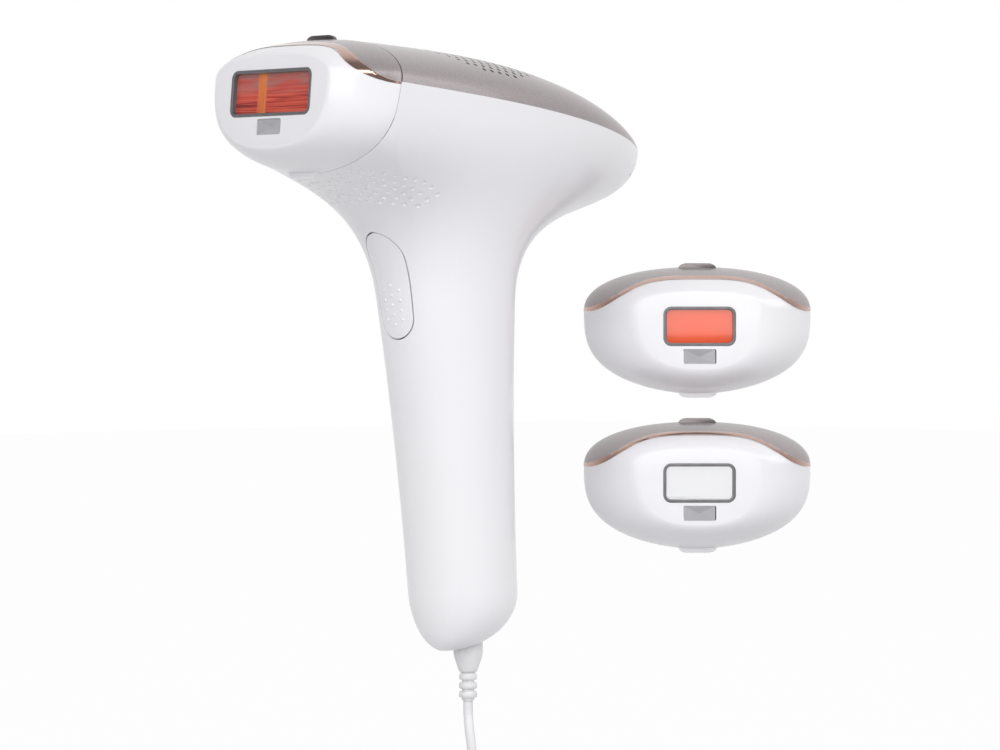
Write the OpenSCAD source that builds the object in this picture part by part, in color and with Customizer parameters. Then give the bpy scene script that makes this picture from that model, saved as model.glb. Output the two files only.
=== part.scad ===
// IPL hair remover: a corded handset with a plug-on treatment attachment, two spare
// attachments and a mains adapter on its cord. Millimetres, +Z up.
// The treatment window faces -Y. The origin is on the handle's axis at the middle of the grip.

/* [Head] */
// Half width of the head at its mouth
mouth_half_w = 36; // [35:0.25:37]
// Height of the mouth above its widest level
mouth_top = 13.8; // [13.4:0.1:14.2]
// Depth of the mouth below its widest level
mouth_low = 26.5; // [25.5:0.1:27.5]
// Length of the head from the mouth to its rear tip
head_len = 136; // [132:1:140]
// Fall of the head towards its rear tip, in degrees
head_tilt = 5; // [4:0.5:6]
// Height of the crown above its seam
crown_h = 15.6; // [15:0.1:16.2]
// Fall of the seam at the rear tip
seam_drop = 6.8; // [6:0.1:7.6]
// Wall of the housing shells
wall = 2.2; // [2:0.1:2.4]

/* [Handle] */
// Height of the mouth's centre above the middle of the grip
mouth_z = 117; // [114:1:120]
// Distance of the mouth's centre in front of the grip's axis
mouth_y = 58; // [57:0.5:59]
// Height of the handle's upper end above the middle of the grip
grip_top_z = 53; // [51:1:55]
// Depth of the handle's lower end below the middle of the grip
grip_end_z = 53; // [52:0.5:54]
// Half width of the handle at its upper end
grip_top_w = 18.5; // [18:0.1:19]
// Half width of the handle at its lower end
grip_end_w = 15; // [14.5:0.1:15.5]
// Half depth of the handle at its upper end
grip_top_d = 22.2; // [21.7:0.1:22.7]
// Half depth of the handle at its lower end
grip_end_d = 17.1; // [16.6:0.1:17.6]

/* [Flash button] */
// Radius of the button's upper end
button_r = 8.2; // [7.8:0.1:8.6]
// Radius of the button's lower end
button_tip_r = 5.6; // [5.2:0.1:6]
// Gap around the button
button_gap = 0.4; // [0.35:0.05:0.5]
// Radius of the pin that the button turns on
pin_r = 1.2; // [1.1:0.05:1.3]

/* [Attachments] */
// Depth of an attachment from its rim to its flat face
nose_len = 16.5; // [16:0.25:17.5]
// Width of the fitted attachment's window frame
body_window_w = 35.4; // [34:0.2:36]
// Height of the fitted attachment's window frame
body_window_h = 13.9; // [13.3:0.1:14.3]
// Width of a spare attachment's window frame
small_window_w = 22.8; // [22:0.2:24]
// Height of a spare attachment's window frame
small_window_h = 12.4; // [11.8:0.1:13]
// Width of the dark frame around a window
frame_t = 1; // [0.8:0.1:1.2]
// Thickness of a filter glass
filter_t = 1.5; // [1.2:0.1:1.8]

/* [Light unit] */
// Outer radius of the flash lamp's tube
lamp_r = 2.5; // [2.2:0.1:2.8]
// Side of the cooling fan
fan_side = 40; // [38:1:40]
// Height of the cooling fan
fan_h = 10; // [9:0.5:10.5]

/* [Power supply] */
// Diameter of the cord
cord_d = 3; // [2.8:0.1:3.2]
// Radius of a mains pin
mains_pin_r = 2; // [1.95:0.05:2.05]
// Length of a mains pin
mains_pin_len = 19; // [18:0.5:20]
// Distance between the mains pins
mains_pitch = 18.6; // [18:0.1:19.2]

/* [Hidden] */

white = [0.95, 0.94, 0.95];
taupe = [0.62, 0.57, 0.57];
copper = [0.72, 0.48, 0.40];
dark = [0.32, 0.32, 0.34];

far = 300;                 // larger than the handset, for cutting solids
eps = 0.02;
mouth_tilt = 4.75;         // the mouth leans back against the head's cross sections
mouth_back = 2.2;          // the mouth's centre lies this far behind the first cross section
mouth_up = [2.2, 1 / 2.2]; // form of the mouth's outline above and below its widest level
mouth_down = [3.09, 0.556];
grip_n = 2.15;             // squareness of the handle's outline
grip_lean = 0.079;         // rearward run of the handle's axis per unit of fall
grip_axis_top = -4.2;      // the handle's axis at its upper end
bell_len = 37.3;           // how far the flare would run on in front of the mouth
crown_dip = 2;             // the crown starts this much lower at the mouth
seam_steps = 13;           // points along the seam, round the bell, down the flare and the handle
bell_steps = 5;
flare_steps = 10;
grip_steps = 6;

// ---- frames ----

// Head frame: x across, y rearward along the head, z up, from the mouth's centre
module in_head() translate([0, -mouth_y, mouth_z]) rotate([-head_tilt, 0, 0]) children();

// Mouth frame: as the head frame, square to the plane where an attachment meets the handset
module in_mouth() in_head() translate([0, mouth_back, 0]) rotate([-mouth_tilt, 0, 0]) children();

function head_point(p) = [p.x, -mouth_y + p.y * cos(head_tilt) + p.z * sin(head_tilt),
                          mouth_z - p.y * sin(head_tilt) + p.z * cos(head_tilt)];

// ---- outlines ----

function pw(x, e) = x <= 0 ? 0 : pow(x, e);
function lobe(x, e) = sign(x) * pw(abs(x), e);

// An outline in the x-z plane, from the top round. Its half width at the share s of its height is
// w (1 - s^m)^k, with the pair [m, k] given for the upper and the lower half.
function oval(w, top, low, up, down, steps) = [for (i = [0:steps - 1])
    let (a = 90 - 360 * i / steps, form = sin(a) > 0 ? up : down)
    [sign(cos(a)) * w * pw(1 - pow(abs(sin(a)), form.x), form.y), sin(a) * (sin(a) > 0 ? top : low)]];

module mouth_outline(inset)
    polygon(oval(mouth_half_w - inset, mouth_top - inset, mouth_low - inset, mouth_up, mouth_down, 48));

corner_step = 22.5;
module rounded(w, h, r) polygon([for (q = [0:3], a = [0:corner_step:90])
    [(q == 0 || q == 3 ? 1 : -1) * (w / 2 - r) + r * cos(90 * q + a),
     (q < 2 ? 1 : -1) * (h / 2 - r) + r * sin(90 * q + a)]]);

// A flat outline standing upright, from y to y + t
module upright(y, t) translate([0, y + t, 0]) rotate([90, 0, 0]) linear_extrude(t) children();

// ---- lofted skins ----

// A solid through rings of equal point count; each ring is symmetric about x = 0, with its
// points numbered round from the plane of symmetry
module loft(rings) {
    n = len(rings[0]);
    last = len(rings) - 1;
    points = [for (r = rings) for (p = r) p];
    sides = [for (i = [0:last - 1]) for (k = [0:n - 1])
        let (a = i * n + k, b = i * n + (k + 1) % n) each [[a, b + n, b], [a, a + n, b + n]]];
    half = n / 2;
    function cap(base, flip) = [for (k = [0:half - 1])
        let (r0 = base + k, r1 = base + k + 1, l0 = base + (n - k) % n, l1 = base + (n - k - 1) % n,
             f = k == 0 ? [r0, r1, l1] : k == half - 1 ? [r0, r1, l0] : [r0, r1, l1, l0])
        flip ? [for (m = [len(f) - 1:-1:0]) f[m]] : f];
    polyhedron(points, concat(sides, cap(0, false), cap(last * n, true)), convexity = 6);
}

// The seam between the top cover and the body shell, in the head frame
function seam_x(d, inset = 0) = (mouth_half_w - inset) * pw(1 - pw(d / (head_len - inset), 3.75), 0.81);
function seam_z(d) = -seam_drop * pw(d / head_len, 2.76);
function crown_z(d, inset = 0) =
    max(0.2, (crown_h - inset - crown_dip * pw(1 - d / 60, 1.5))
        * pw(1 - pw(d / (head_len - inset), 4.24), 1.27));

// The crown of the head above its seam; sink carries it below the seam
module crown(inset = 0, sink = 1) in_head() loft([for (i = [-1:seam_steps])
    let (s = max(1 - i / seam_steps, 0.015), d = i < 0 ? -2 : (head_len - inset) * (1 - pow(s, 1.8)),
         w = seam_x(d, inset), z = seam_z(d), h = crown_z(d, inset))
    concat([for (a = [90:-15:0]) [w * lobe(cos(a), 0.91), d, z + h * lobe(sin(a), 0.91)]],
           [[w, d, z - sink], [0, d, z - sink], [-w, d, z - sink]],
           [for (a = [180:-15:105]) [w * lobe(cos(a), 0.91), d, z + h * lobe(sin(a), 0.91)]])]);

// The closed loop that the flare hangs from: the seam, run on into a bell in front of the mouth
function rim_point(j) = j <= seam_steps
    ? let (d = head_len * (1 - pow(j / seam_steps, 1.8))) [seam_x(d), d, seam_z(d)]
    : let (a = 90 * (j - seam_steps) / bell_steps)
      [mouth_half_w * pw(cos(a), 1.665), -bell_len * pw(sin(a), 1.665), 0];

function grip_w(u) = grip_top_w + (grip_end_w - grip_top_w) * u;
function grip_d(u) = grip_top_d - (grip_top_d - grip_end_d) * (2.4 * u - 1.4 * u * u);
function grip_axis(z) = grip_axis_top + grip_lean * (grip_top_z - z);
function grip_point(a, w, d, y, z) =
    [w * lobe(sin(a), 2 / grip_n), y + d * lobe(cos(a), 2 / grip_n), z];

// Where a point of the loop lies around the handle, 0 at the rear and 180 at the front
function bearing(p) = atan2(p.x, p.y - grip_axis_top);

// A smooth curve from the loop down onto the handle
function flare_point(p, t) = let (a = bearing(p),
    q = grip_point(a, grip_top_w, grip_top_d, grip_axis_top, grip_top_z),
    f = (1 - cos(a)) / 2,
    reach = norm(q - p),
    down = head_point([0, 0, -1]) - head_point([0, 0, 0]),
    along = [-0.049 * sin(a), grip_lean - 0.078 * cos(a), -1])
    (2 * pow(t, 3) - 3 * pow(t, 2) + 1) * p
    + (pow(t, 3) - 2 * pow(t, 2) + t) * reach * (0.872 + 0.459 * f) * down
    + (3 * pow(t, 2) - 2 * pow(t, 3)) * q
    + (pow(t, 3) - pow(t, 2)) * reach * (1.374 + 0.4 * f) * along;

end_round = 18;            // height over which the handle's lower end rounds off
end_shift = 13;            // how far the rounding draws the end forward
function grip_ring_point(p, s) = let (z = grip_top_z - (grip_top_z + grip_end_z) * (1 - pow(1 - s, 1.6)),
    u = (grip_top_z - z) / (grip_top_z + grip_end_z),
    r = (z + grip_end_z) / end_round,
    e = r < 1 ? pw(1 - pw(1 - r, 2.3), 1 / 2.3) : 1)
    grip_point(bearing(p), grip_w(u) * e, grip_d(u) * e, grip_axis(z) - end_shift * (1 - e), z);

loop_n = 2 * (seam_steps + bell_steps);
rows_n = flare_steps + grip_steps;
loop = [for (j = [0:loop_n - 1]) let (h = head_point(rim_point(min(j, loop_n - j))))
    [j > loop_n / 2 ? -h.x : h.x, h.y, h.z]];
skin = [for (i = [0:rows_n]) [for (p = loop)
    i <= flare_steps ? flare_point(p, i / flare_steps)
                     : grip_ring_point(p, 0.955 * (i - flare_steps) / grip_steps)]];

// How far forward the handle's front lies at a height
front_line = [for (ring = skin) [ring[loop_n / 2].z, ring[loop_n / 2].y]];
function front_y(z) = lookup(z, front_line);

function unit(v) = v / max(norm(v), 1e-9);
function skin_normal(i, j) =
    unit(cross(skin[min(i + 1, rows_n)][j] - skin[max(i - 1, 0)][j],
               skin[i][(j + 1) % loop_n] - skin[i][(j + loop_n - 1) % loop_n]));

// The flare and the handle as one solid, its skin moved inwards by inset; lift carries it
// above the seam
module flare(inset = 0, lift = 0) {
    rings = inset == 0 ? skin
        : [for (i = [0:rows_n]) [for (j = [0:loop_n - 1]) skin[i][j] + inset * skin_normal(i, j)]];
    loft(concat(lift > 0 ? [[for (p = rings[0]) p + [0, 0, lift]]] : [], rings));
}

// Everything in front of the mouth's plane
module ahead_of_mouth() in_mouth() translate([-far / 2, -far, -far / 2]) cube(far);

// The whole closed body of the handset behind its mouth, inset inwards
module handset_body(inset) difference() {
    union() {
        crown(inset);
        flare(inset);
    }
    ahead_of_mouth();
}

spine_y = -4.6;            // the spine runs down the handle between the board and the capacitor
spine_t = 1.6;
spine_w = 17;
spine_low = -40;

// ---- housing ----

plug_y = 5;                // axis of the power plug
plug_top = -46.5;          // top of the plug's body
plug_hole_r = 4.9;
cover_gap = 0.15;          // gap between two housing parts

panel_r = 9.5;             // half width of the control panel on the rear end of the head
panel_front = head_len - 47;
panel_low = -12.5;         // the panel runs over the tip and down to here
module panel_prism(grow = 0) in_head() translate([0, 0, panel_low - grow]) linear_extrude(60) {
    translate([0, panel_front + panel_r]) circle(panel_r + grow, $fn = 32);
    translate([-panel_r - grow, panel_front + panel_r]) square([2 * (panel_r + grow), 60]);
}

// The flash button's outline, seen from the front
button_top = grip_top_z + 20.5;
button_low = grip_top_z - 11;
module button_outline(grow = 0) hull() {
    translate([0, button_top - button_r]) circle(button_r + grow, $fn = 40);
    translate([0, button_low + button_tip_r]) circle(button_tip_r + grow, $fn = 32);
}
module button_prism(grow = 0) upright(-far / 4, far / 4 + grip_axis_top - 8) button_outline(grow);

// Rows of small round vents in the top cover, seen from above as a leaf
vent_pitch = 7.2;
vent_r = 1.2;
vent_front = 16;
vent_rear = 74;
vent_half = 19;            // half width of the leaf
function vent_share(d) = (d - vent_front + 6) / (vent_rear - vent_front + 12);
function vent_shift(d) = round((d - vent_front) / vent_pitch) % 2 / 2 - 0.25;
module vents() in_head()
    for (d = [vent_front:vent_pitch:vent_rear], k = [-3:3])
        if (abs(k) * vent_pitch < vent_half * sin(180 * pow(vent_share(d), 0.8)))
            translate([(k + vent_shift(d)) * vent_pitch, d, -2]) cylinder(r = vent_r, h = 30, $fn = 4);

module body_shell() color(white) resize([0, 0, 0]) difference() {
    flare();
    flare(wall, 8);
    ahead_of_mouth();
    panel_prism(cover_gap);
    button_prism(button_gap);
    translate([0, plug_y, -grip_end_z - 10]) cylinder(r = plug_hole_r, h = 30, $fn = 40);
}

module top_cover() color(taupe) resize([0, 0, 0]) difference() {
    crown(0, 0);
    crown(wall, 5);
    ahead_of_mouth();
    panel_prism(cover_gap);
    vents();
}

panel_t = 2;
// A place on the middle of the crown: along the head, its height and its fall in degrees
function crown_top(d) = seam_z(d) + crown_z(d);
function on_crown(d) = [d, crown_top(d), atan((crown_top(d - 1) - crown_top(d + 1)) / 2)];
power_at = on_crown(head_len - 39);
level_at = on_crown(head_len - 29);
lights_at = on_crown(head_len - 20.5);
power_r = 3.8;
level_r = 3;
light_r = 0.8;
light_pitch = 3;
control_gap = 0.2;
button_depth = 3.4;        // how deep the two buttons and the lights reach below the skin
module at_panel(p) in_head() translate([0, p.x, p.y]) rotate([-p.z, 0, 0]) children();
module stud(r, n = 28) translate([0, 0, -12]) cylinder(r = r, h = 20, $fn = n);
module light_studs(r) at_panel(lights_at) for (k = [-2:2]) translate([k * light_pitch, 0, 0])
    stud(r, 10);
module skin_layer(out, depth) difference() { handset_body(-out); handset_body(depth); }

// The control board's place, and the posts that hold it under the panel
board_at = [power_at.x - 6, power_at.y - 9, lights_at.z];
board_len = 27;
board_half_w = 7.5;
board_t = 1.6;
post_r = 1.4;
post_h = 14;               // the posts end in the panel
module board_posts() intersection() {
    handset_body(panel_t / 2);
    at_panel(board_at) for (side = [-1, 1], y = [2.5, board_len - 8.5])
        translate([side * (board_half_w - post_r), y, board_t]) cylinder(r = post_r, h = post_h, $fn = 12);
}

// How deep the board's upper face lies under a control, along the control's axis
function board_depth(p) = ((p.x - board_at.x) * sin(board_at.z) + (p.y - board_at.y) * cos(board_at.z)
    - board_t) / cos(board_at.z - p.z);

module control_panel() color(dark) resize([0, 0, 0]) {
    difference() {
        intersection() { skin_layer(0, panel_t); panel_prism(); }
        light_studs(light_r + 0.05);
        at_panel(power_at) stud(power_r + control_gap);
        at_panel(level_at) stud(level_r + control_gap);
    }
    board_posts();
}
module power_button() color(taupe) resize([0, 0, 0]) intersection() {
    skin_layer(0.6, button_depth);
    at_panel(power_at) stud(power_r);
}
module level_button() color(taupe) resize([0, 0, 0]) intersection() {
    skin_layer(0.6, button_depth);
    at_panel(level_at) stud(level_r);
}
module level_lights() color("white") resize([0, 0, 0]) intersection() {
    skin_layer(0.12, button_depth);
    light_studs(light_r);
}

// ---- flash button and its mechanism ----

pin_z = button_top - 12;
pin_y = front_y(pin_z) + 8.4; // the pin lies this deep behind the handle's front
pin_half = 7;
ear_x = 5;
ear_t = 2;
rib_z = button_low + 2;    // the rib presses the switch's plunger
rib_t = 2;
module across(r, x0, x1) translate([x0, pin_y, pin_z]) rotate([0, 90, 0])
    cylinder(r = r, h = x1 - x0, $fn = 32);

module button_skin() resize([0, 0, 0]) difference() {
    intersection() { flare(0.1); button_prism(); }
    flare(wall + 0.1, 8);
}

module flash_button() color(white) difference() {
    union() {
        button_skin();
        for (side = [-1, 1]) translate([side * ear_x - ear_t / 2, 0, 0]) hull() {
            translate([0, pin_y, pin_z]) rotate([0, 90, 0]) cylinder(r = 2.8, h = ear_t, $fn = 32);
            translate([0, pin_y - 6.3, pin_z - 3.5]) cube([ear_t, 2.5, 5]);
        }
        translate([-rib_t / 2, front_y(rib_z) + wall - 0.5, rib_z])
            cube([rib_t, rib_y - front_y(rib_z) - wall + 0.5, 2.5]);
    }
    across(pin_r + 0.05, -10, 10);
}

module button_pin() color("silver") across(pin_r, -pin_half - 1.8, pin_half + 1.8);

module button_spring() color("silver") {
    difference() { across(2.3, -3.2, 3.2); across(pin_r + 0.3, -4, 4); }
    translate([-3.2, pin_y + 1.6, pin_z - 9]) cube([0.8, 0.8, 8.6]);
}

bracket_t = 1.8;
bracket_back = spine_y - bracket_t;
microswitch_d = 5.8;
plunger_len = 0.9;
plunger_gap = 0.8;
plunger_y = bracket_back - microswitch_d - plunger_len;
rib_y = plunger_y - plunger_gap;
module button_bracket() color(dark) difference() {
    union() {
        for (side = [-1, 1]) translate([side * (pin_half + 0.9) - 0.9, pin_y - 2.6, pin_z - 3])
            cube([1.8, bracket_back - pin_y + 2.7, 6]);
        translate([-pin_half - 1.8, bracket_back, button_low - 2])
            cube([2 * pin_half + 3.6, bracket_t, pin_z + 5 - button_low]);
    }
    across(pin_r, -10, 10);
}

module microswitch() color("black") {
    translate([-3.2, bracket_back - microswitch_d, button_low - 1]) cube([6.4, microswitch_d, 12.8]);
    translate([-rib_t / 2, plunger_y, rib_z + 0.2]) cube([rib_t, plunger_len + eps, 2]);
}

// ---- light unit ----

plate_y = 5;               // the nose plate lies this deep in the mouth
plate_t = 2.5;
lamp_window_w = 40;
lamp_window_h = 17;
post_x = 27;
post_w = 3.6;
light_z = -4.2;            // height of the light path's centre below the widest level
sensor_z = -14.2;
bay_back = 34;             // rear of the lamp bay

module nose_plate() color(dark) in_mouth() difference() {
    upright(plate_y, plate_t) mouth_outline(wall + 0.25);
    translate([0, 0, light_z]) upright(plate_y - 1, plate_t + 2)
        rounded(lamp_window_w - 3, lamp_window_h - 3, 2);
    translate([0, 0, light_z]) upright(plate_y - 1, 2.2) rounded(lamp_window_w, lamp_window_h, 3);
    translate([0, 0, sensor_z - 4.2]) upright(plate_y - 1, plate_t + 2) rounded(11, 5, 1);
    for (side = [-1, 1]) translate([side * 12.5, 0, sensor_z - 4.2])
        upright(plate_y - 1, 2) rounded(9, 4, 0.8);
    plate_screws(eps);
}

module lamp_window() color([0.9, 0.75, 0.7, 0.5]) in_mouth() translate([0, 0, light_z])
    upright(plate_y - 0.3, 1.5) rounded(lamp_window_w - 0.1, lamp_window_h - 0.1, 3);

module contact_pads() color("gold") in_mouth() for (side = [-1, 1], k = [-1, 1])
    translate([side * 12.5 + k * 2.1, 0, sensor_z - 4.2]) upright(plate_y - 0.2, 1.2) rounded(3.4, 3.4, 0.6);

module skin_sensor() color([0.3, 0.3, 0.32]) in_mouth() translate([0, 0, sensor_z - 4.2]) {
    upright(plate_y + 0.6, plate_t + 3) rounded(10.8, 4.8, 1);
    upright(plate_y + plate_t + 0.2, 4) rounded(15, 8, 1);
}

reflect_y = plate_y + plate_t;
reflect_t = 0.6;
reflect_len = 17;
reflect_w = 37;
// Half of the trough's profile, from its mouth to its back
function trough(grow) = [for (t = [0:6]) let (a = 90 * t / 6)
    [reflect_y + (reflect_len + grow) * sin(a), (7 + grow) * pw(cos(a), 0.55)]];
module trough_profile(grow) polygon(concat(trough(grow),
    [for (t = [6:-1:0]) [trough(grow)[t].x, -trough(grow)[t].y]]));
module reflector() color("silver") in_mouth() translate([0, 0, light_z]) difference() {
    translate([-reflect_w / 2 - reflect_t, 0, 0]) rotate([90, 0, 90])
        linear_extrude(reflect_w + 2 * reflect_t) trough_profile(reflect_t);
    translate([-reflect_w / 2, -eps, 0]) rotate([90, 0, 90]) linear_extrude(reflect_w) trough_profile(0);
    lamp_rod(lamp_r + 0.3, reflect_w / 2 + 5);
}

lamp_y = reflect_y + 9;
lamp_half = 24.5;
module lamp_rod(r, half) translate([-half, lamp_y, 0]) rotate([0, 90, 0])
    cylinder(r = r, h = 2 * half, $fn = 32);
module flash_lamp() color([0.9, 0.92, 0.95, 0.6]) in_mouth() translate([0, 0, light_z]) {
    lamp_rod(lamp_r, lamp_half - 4);
    lamp_rod(lamp_r - 1.4, lamp_half);
}

holder_w = 4.8;
holder_half_h = 7.8;       // higher than the reflector, so that the strip above lies clear of it
module lamp_holders() color("ivory") in_mouth() translate([0, 0, light_z]) for (side = [-1, 1])
    difference() {
        translate([side * (reflect_w / 2 + 3.3) - holder_w / 2, reflect_y + 1, -holder_half_h])
            cube([holder_w, 16, 2 * holder_half_h]);
        lamp_rod(lamp_r, 40);
    }

// The trigger coil lies on a strip of board across the two lamp holders
coil_r = 3;
coil_len = 16;
strip_t = 1.6;
strip_d = 12;
module trigger_coil() color("firebrick") in_mouth() translate([0, lamp_y, light_z + holder_half_h]) {
    translate([-coil_len / 2, 0, strip_t + coil_r - 0.2]) rotate([0, 90, 0])
        cylinder(r = coil_r, h = coil_len, $fn = 32);
    translate([-lamp_half + 2, -strip_d / 2, 0]) cube([2 * (lamp_half - 2), strip_d, strip_t]);
}

// ---- cooling fan ----

fan_d = head_len - 70;     // the fan's centre along the head
fan_z = -11;
fan_bore_r = fan_side / 2 - 1.2;
fan_hub_r = 8;
fan_pin_r = 1.5;
module at_fan() in_head() translate([0, fan_d, fan_z]) children();
module fan_frame() color("dimgray") at_fan() difference() {
    union() {
        difference() {
            translate([-fan_side / 2, -fan_side / 2, 0]) cube([fan_side, fan_side, fan_h]);
            translate([0, 0, -1]) cylinder(r = fan_bore_r, h = fan_h + 2, $fn = 64);
        }
        cylinder(r = fan_hub_r, h = 2, $fn = 48);
        for (a = [45:90:315]) rotate([0, 0, a]) translate([fan_hub_r - 1, -1, 0])
            cube([fan_bore_r - fan_hub_r + 2, 2, 2]);
        cylinder(r = 2.8, h = 5, $fn = 32);
    }
    translate([0, 0, 1]) cylinder(r = fan_pin_r + 0.05, h = 8, $fn = 32);
}
module fan_rotor() color([0.2, 0.2, 0.22]) at_fan() {
    difference() {
        translate([0, 0, 2.6]) cylinder(r = fan_hub_r, h = fan_h - 3.2, $fn = 48);
        translate([0, 0, 2]) cylinder(r = fan_hub_r - 1.2, h = fan_h - 4.2, $fn = 48);
    }
    translate([0, 0, 1.2]) cylinder(r = fan_pin_r, h = fan_h - 2.4, $fn = 32);
    for (k = [0:6]) rotate([0, 0, k * 360 / 7]) translate([fan_hub_r - 0.4, 0, 2.9 + (fan_h - 4.4) / 2])
        rotate([38, 0, 0]) translate([0, -4.2, -0.5]) cube([fan_bore_r - fan_hub_r - 0.6, 8.4, 1]);
}

// ---- chassis and electronics ----

deck_z = fan_z - 2;
deck_half = 21.5;
deck_front = reflect_y + reflect_len + 6;
deck_rear = fan_d + 24;
capacitor_r = 8.5;
capacitor_len = 42;
capacitor_z = -18;
gusset_front = 38;         // the gusset ties the spine to the deck ahead of the fan
gusset_len = 18;
cradle_t = 0.7;
cradle_gap = 0.05;
cradle_w = 4;
module chassis() color([0.80, 0.80, 0.82]) {
    in_head() difference() {
        translate([-deck_half, deck_front, deck_z]) cube([2 * deck_half, deck_rear - deck_front, 2]);
        translate([0, fan_d, deck_z - 1]) cylinder(r = fan_bore_r, h = 4, $fn = 64);
    }
    in_mouth() difference() {
        for (side = [-1, 1]) translate([side * post_x - post_w / 2, plate_y + plate_t, light_z - 8.5])
            cube([post_w, deck_front - plate_y, 11]);
        plate_screws(eps);
    }
    in_head() {
        translate([-post_x, deck_front, deck_z]) cube([2 * post_x, 8, 2]);
        translate([1 - spine_w / 2, gusset_front, deck_z - 3]) cube([spine_w - 2, gusset_len, 4]);
    }
    translate([-spine_w / 2, spine_y, spine_low]) cube([spine_w, spine_t, mouth_z - spine_low - 19]);
    for (z = [capacitor_z + cradle_w, capacitor_z + capacitor_len - 2 * cradle_w])
        translate([0, capacitor_y(), z]) difference() {
            cylinder(r = capacitor_r + cradle_gap + cradle_t, h = cradle_w, $fn = 48);
            translate([0, 0, -1]) cylinder(r = capacitor_r + cradle_gap, h = cradle_w + 2, $fn = 48);
        }
}
function capacitor_y() = spine_y + spine_t + capacitor_r + 0.4;

module capacitor() color([0.15, 0.15, 0.2]) translate([0, capacitor_y(), capacitor_z])
    cylinder(r = capacitor_r, h = capacitor_len, $fn = 48);

// The main board with a transformer, a driver, a buffer capacitor and a connector
main_board_len = button_low - 4 - spine_low;   // up to just below the button's bracket
transformer = [12, 4, 10];
driver = [10, 3, 10];
connector = [6, 3, 8];
buffer_r = 3.5;
module board_part(size, z) translate([-size.x / 2, spine_y - board_t - size.y, spine_low + z]) cube(size);
module main_board() color("seagreen") {
    translate([-spine_w / 2, spine_y - board_t, spine_low]) cube([spine_w, board_t, main_board_len]);
    board_part(transformer, 10);
    board_part(driver, 28);
    translate([0, spine_y - board_t, spine_low + 52]) rotate([90, 0, 0])
        cylinder(r = buffer_r, h = transformer.y, $fn = 32);
    board_part(connector, 64);
}

// The control board with a push switch under each button
switch_gap = 0.8;
switch_w = 6;
switch_h = 2.4;
plunger_r = 1.7;
module control_board() color("seagreen") {
    at_panel(board_at) translate([-board_half_w, 0, 0]) cube([2 * board_half_w, board_len, board_t]);
    for (p = [power_at, level_at]) at_panel(p) translate([0, 0, -board_depth(p)]) {
        translate([-switch_w / 2, -switch_w / 2, -1]) cube([switch_w, switch_w, switch_h + 1]);
        cylinder(r = plunger_r, h = board_depth(p) - button_depth - switch_gap, $fn = 24);
    }
}

// The screws that hold the nose plate to the chassis
module plate_screws(grow = 0) for (side = [-1, 1])
    translate([side * post_x, plate_y, light_z - 3]) rotate([-90, 0, 0]) {
        translate([0, 0, -grow]) cylinder(r = 2.2 + grow, h = 1.4 + grow, $fn = 24);
        cylinder(r = 1.1 + grow, h = 8, $fn = 24);
    }
module chassis_screws() color("silver") in_mouth() plate_screws();

socket_r = plug_hole_r - 0.05;
jack_r = 2.6;
module dc_socket() color("black") translate([0, plug_y, plug_top]) difference() {
    cylinder(r = socket_r, h = 13, $fn = 40);
    translate([0, 0, -1]) cylinder(r = jack_r + 0.1, h = 11.5, $fn = 32);
}

// ---- attachments ----

// What sets the attachments apart: the flat face's half width, top and depth; the window's width
// and height; the heights of the window and of the sensor's; how much the trim widens out towards
// the sides and how much of it has gone at the rim; the arch of the trim's lower edge: its height
// over the middle of the face, where it ends at the side, its form and its drop at the end
FACE = 0;
WINDOW = 1;
WINDOW_Z = 2;
SENSOR_Z = 3;
TRIM = 4;
ARCH = 5;
body_kind = [[24.2, 6.6, 20.3], [body_window_w, body_window_h], light_z, sensor_z, [1.45, 0.5],
             [10.3, 36.75, 2.3, 0.8]];
small_kind = [[19, 5.6, 18.2], [small_window_w, small_window_h], light_z - 0.8, sensor_z - 0.3, [0.6, 0],
              [9.9, 34.75, 1.9, 0.2]];

face_form = [2.6, 1 / 2.6];
rim_gap = 0.25;            // gap between the attachment's rim and the handset
hood_t = 1.1;              // thickness of the hood and the trim over the shell
trim_w = 1.1;
form_n = 24;               // points round the attachment, and rings from its face to its rim
form_rings = 5;

function rim_y(z) = mouth_back - rim_gap + tan(mouth_tilt) * z;

// The attachment's outer form, inset inwards; its rings run from the face to the rim
module nose_form(kind, inset = 0, back = 0) loft([for (k = [-1:form_rings])
    let (a = 90 - 90 * max(k, 0) / form_rings, depth = pw(sin(a), 1.45),
         g = k < 0 ? inset + 3 : inset,
         rim = oval(mouth_half_w - g, mouth_top - g, mouth_low - g, mouth_up, mouth_down, form_n),
         face = oval(kind[FACE].x - g, kind[FACE].y - g * 0.8, kind[FACE].z - g, face_form, face_form, form_n),
         q = pw(cos(a), 1.28))
    [for (i = [0:form_n - 1]) let (p = face[i] + (rim[i] - face[i]) * q)
        [p.x, -(nose_len - inset) * depth + (1 - depth) * rim_y(p.y) + (k == form_rings ? back : 0), p.y]]]);

// Height of the trim's lower edge across the attachment, and the trim's upright width
function trim_z(x, arch) =
    (arch[0] + arch[3]) * pow(cos(90 * min(1, pow(abs(x) / arch[1], arch[2]))), 2) - arch[3];
function trim_width(x, form) = let (s = min(1, abs(x) / mouth_half_w))
    trim_w * (1 - form.y * pow(s, 4)) + form.x * pow(sin(180 * pow(s, 4.27)), 2);
module above_trim(kind, up = 0, top = 30) upright(-nose_len - 5, nose_len + 12)
    polygon(concat([for (x = [-38:4:38]) [x, trim_z(x, kind[ARCH]) + up * trim_width(x, kind[TRIM])]],
                   [[38, top], [-38, top]]));

// Release tabs at the rim, above and below
tab_w = 12;
tab_len = 1.8;
tab_rise = 1.2;
tab_taper = 1.6;
module tab(z) let (side = sign(z)) upright(rim_y(z) - tab_len, tab_len - 0.2)
    polygon([[-tab_w / 2, z - side], [tab_w / 2, z - side], [tab_w / 2 - tab_taper, z + side * tab_rise],
             [tab_taper - tab_w / 2, z + side * tab_rise]]);

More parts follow.
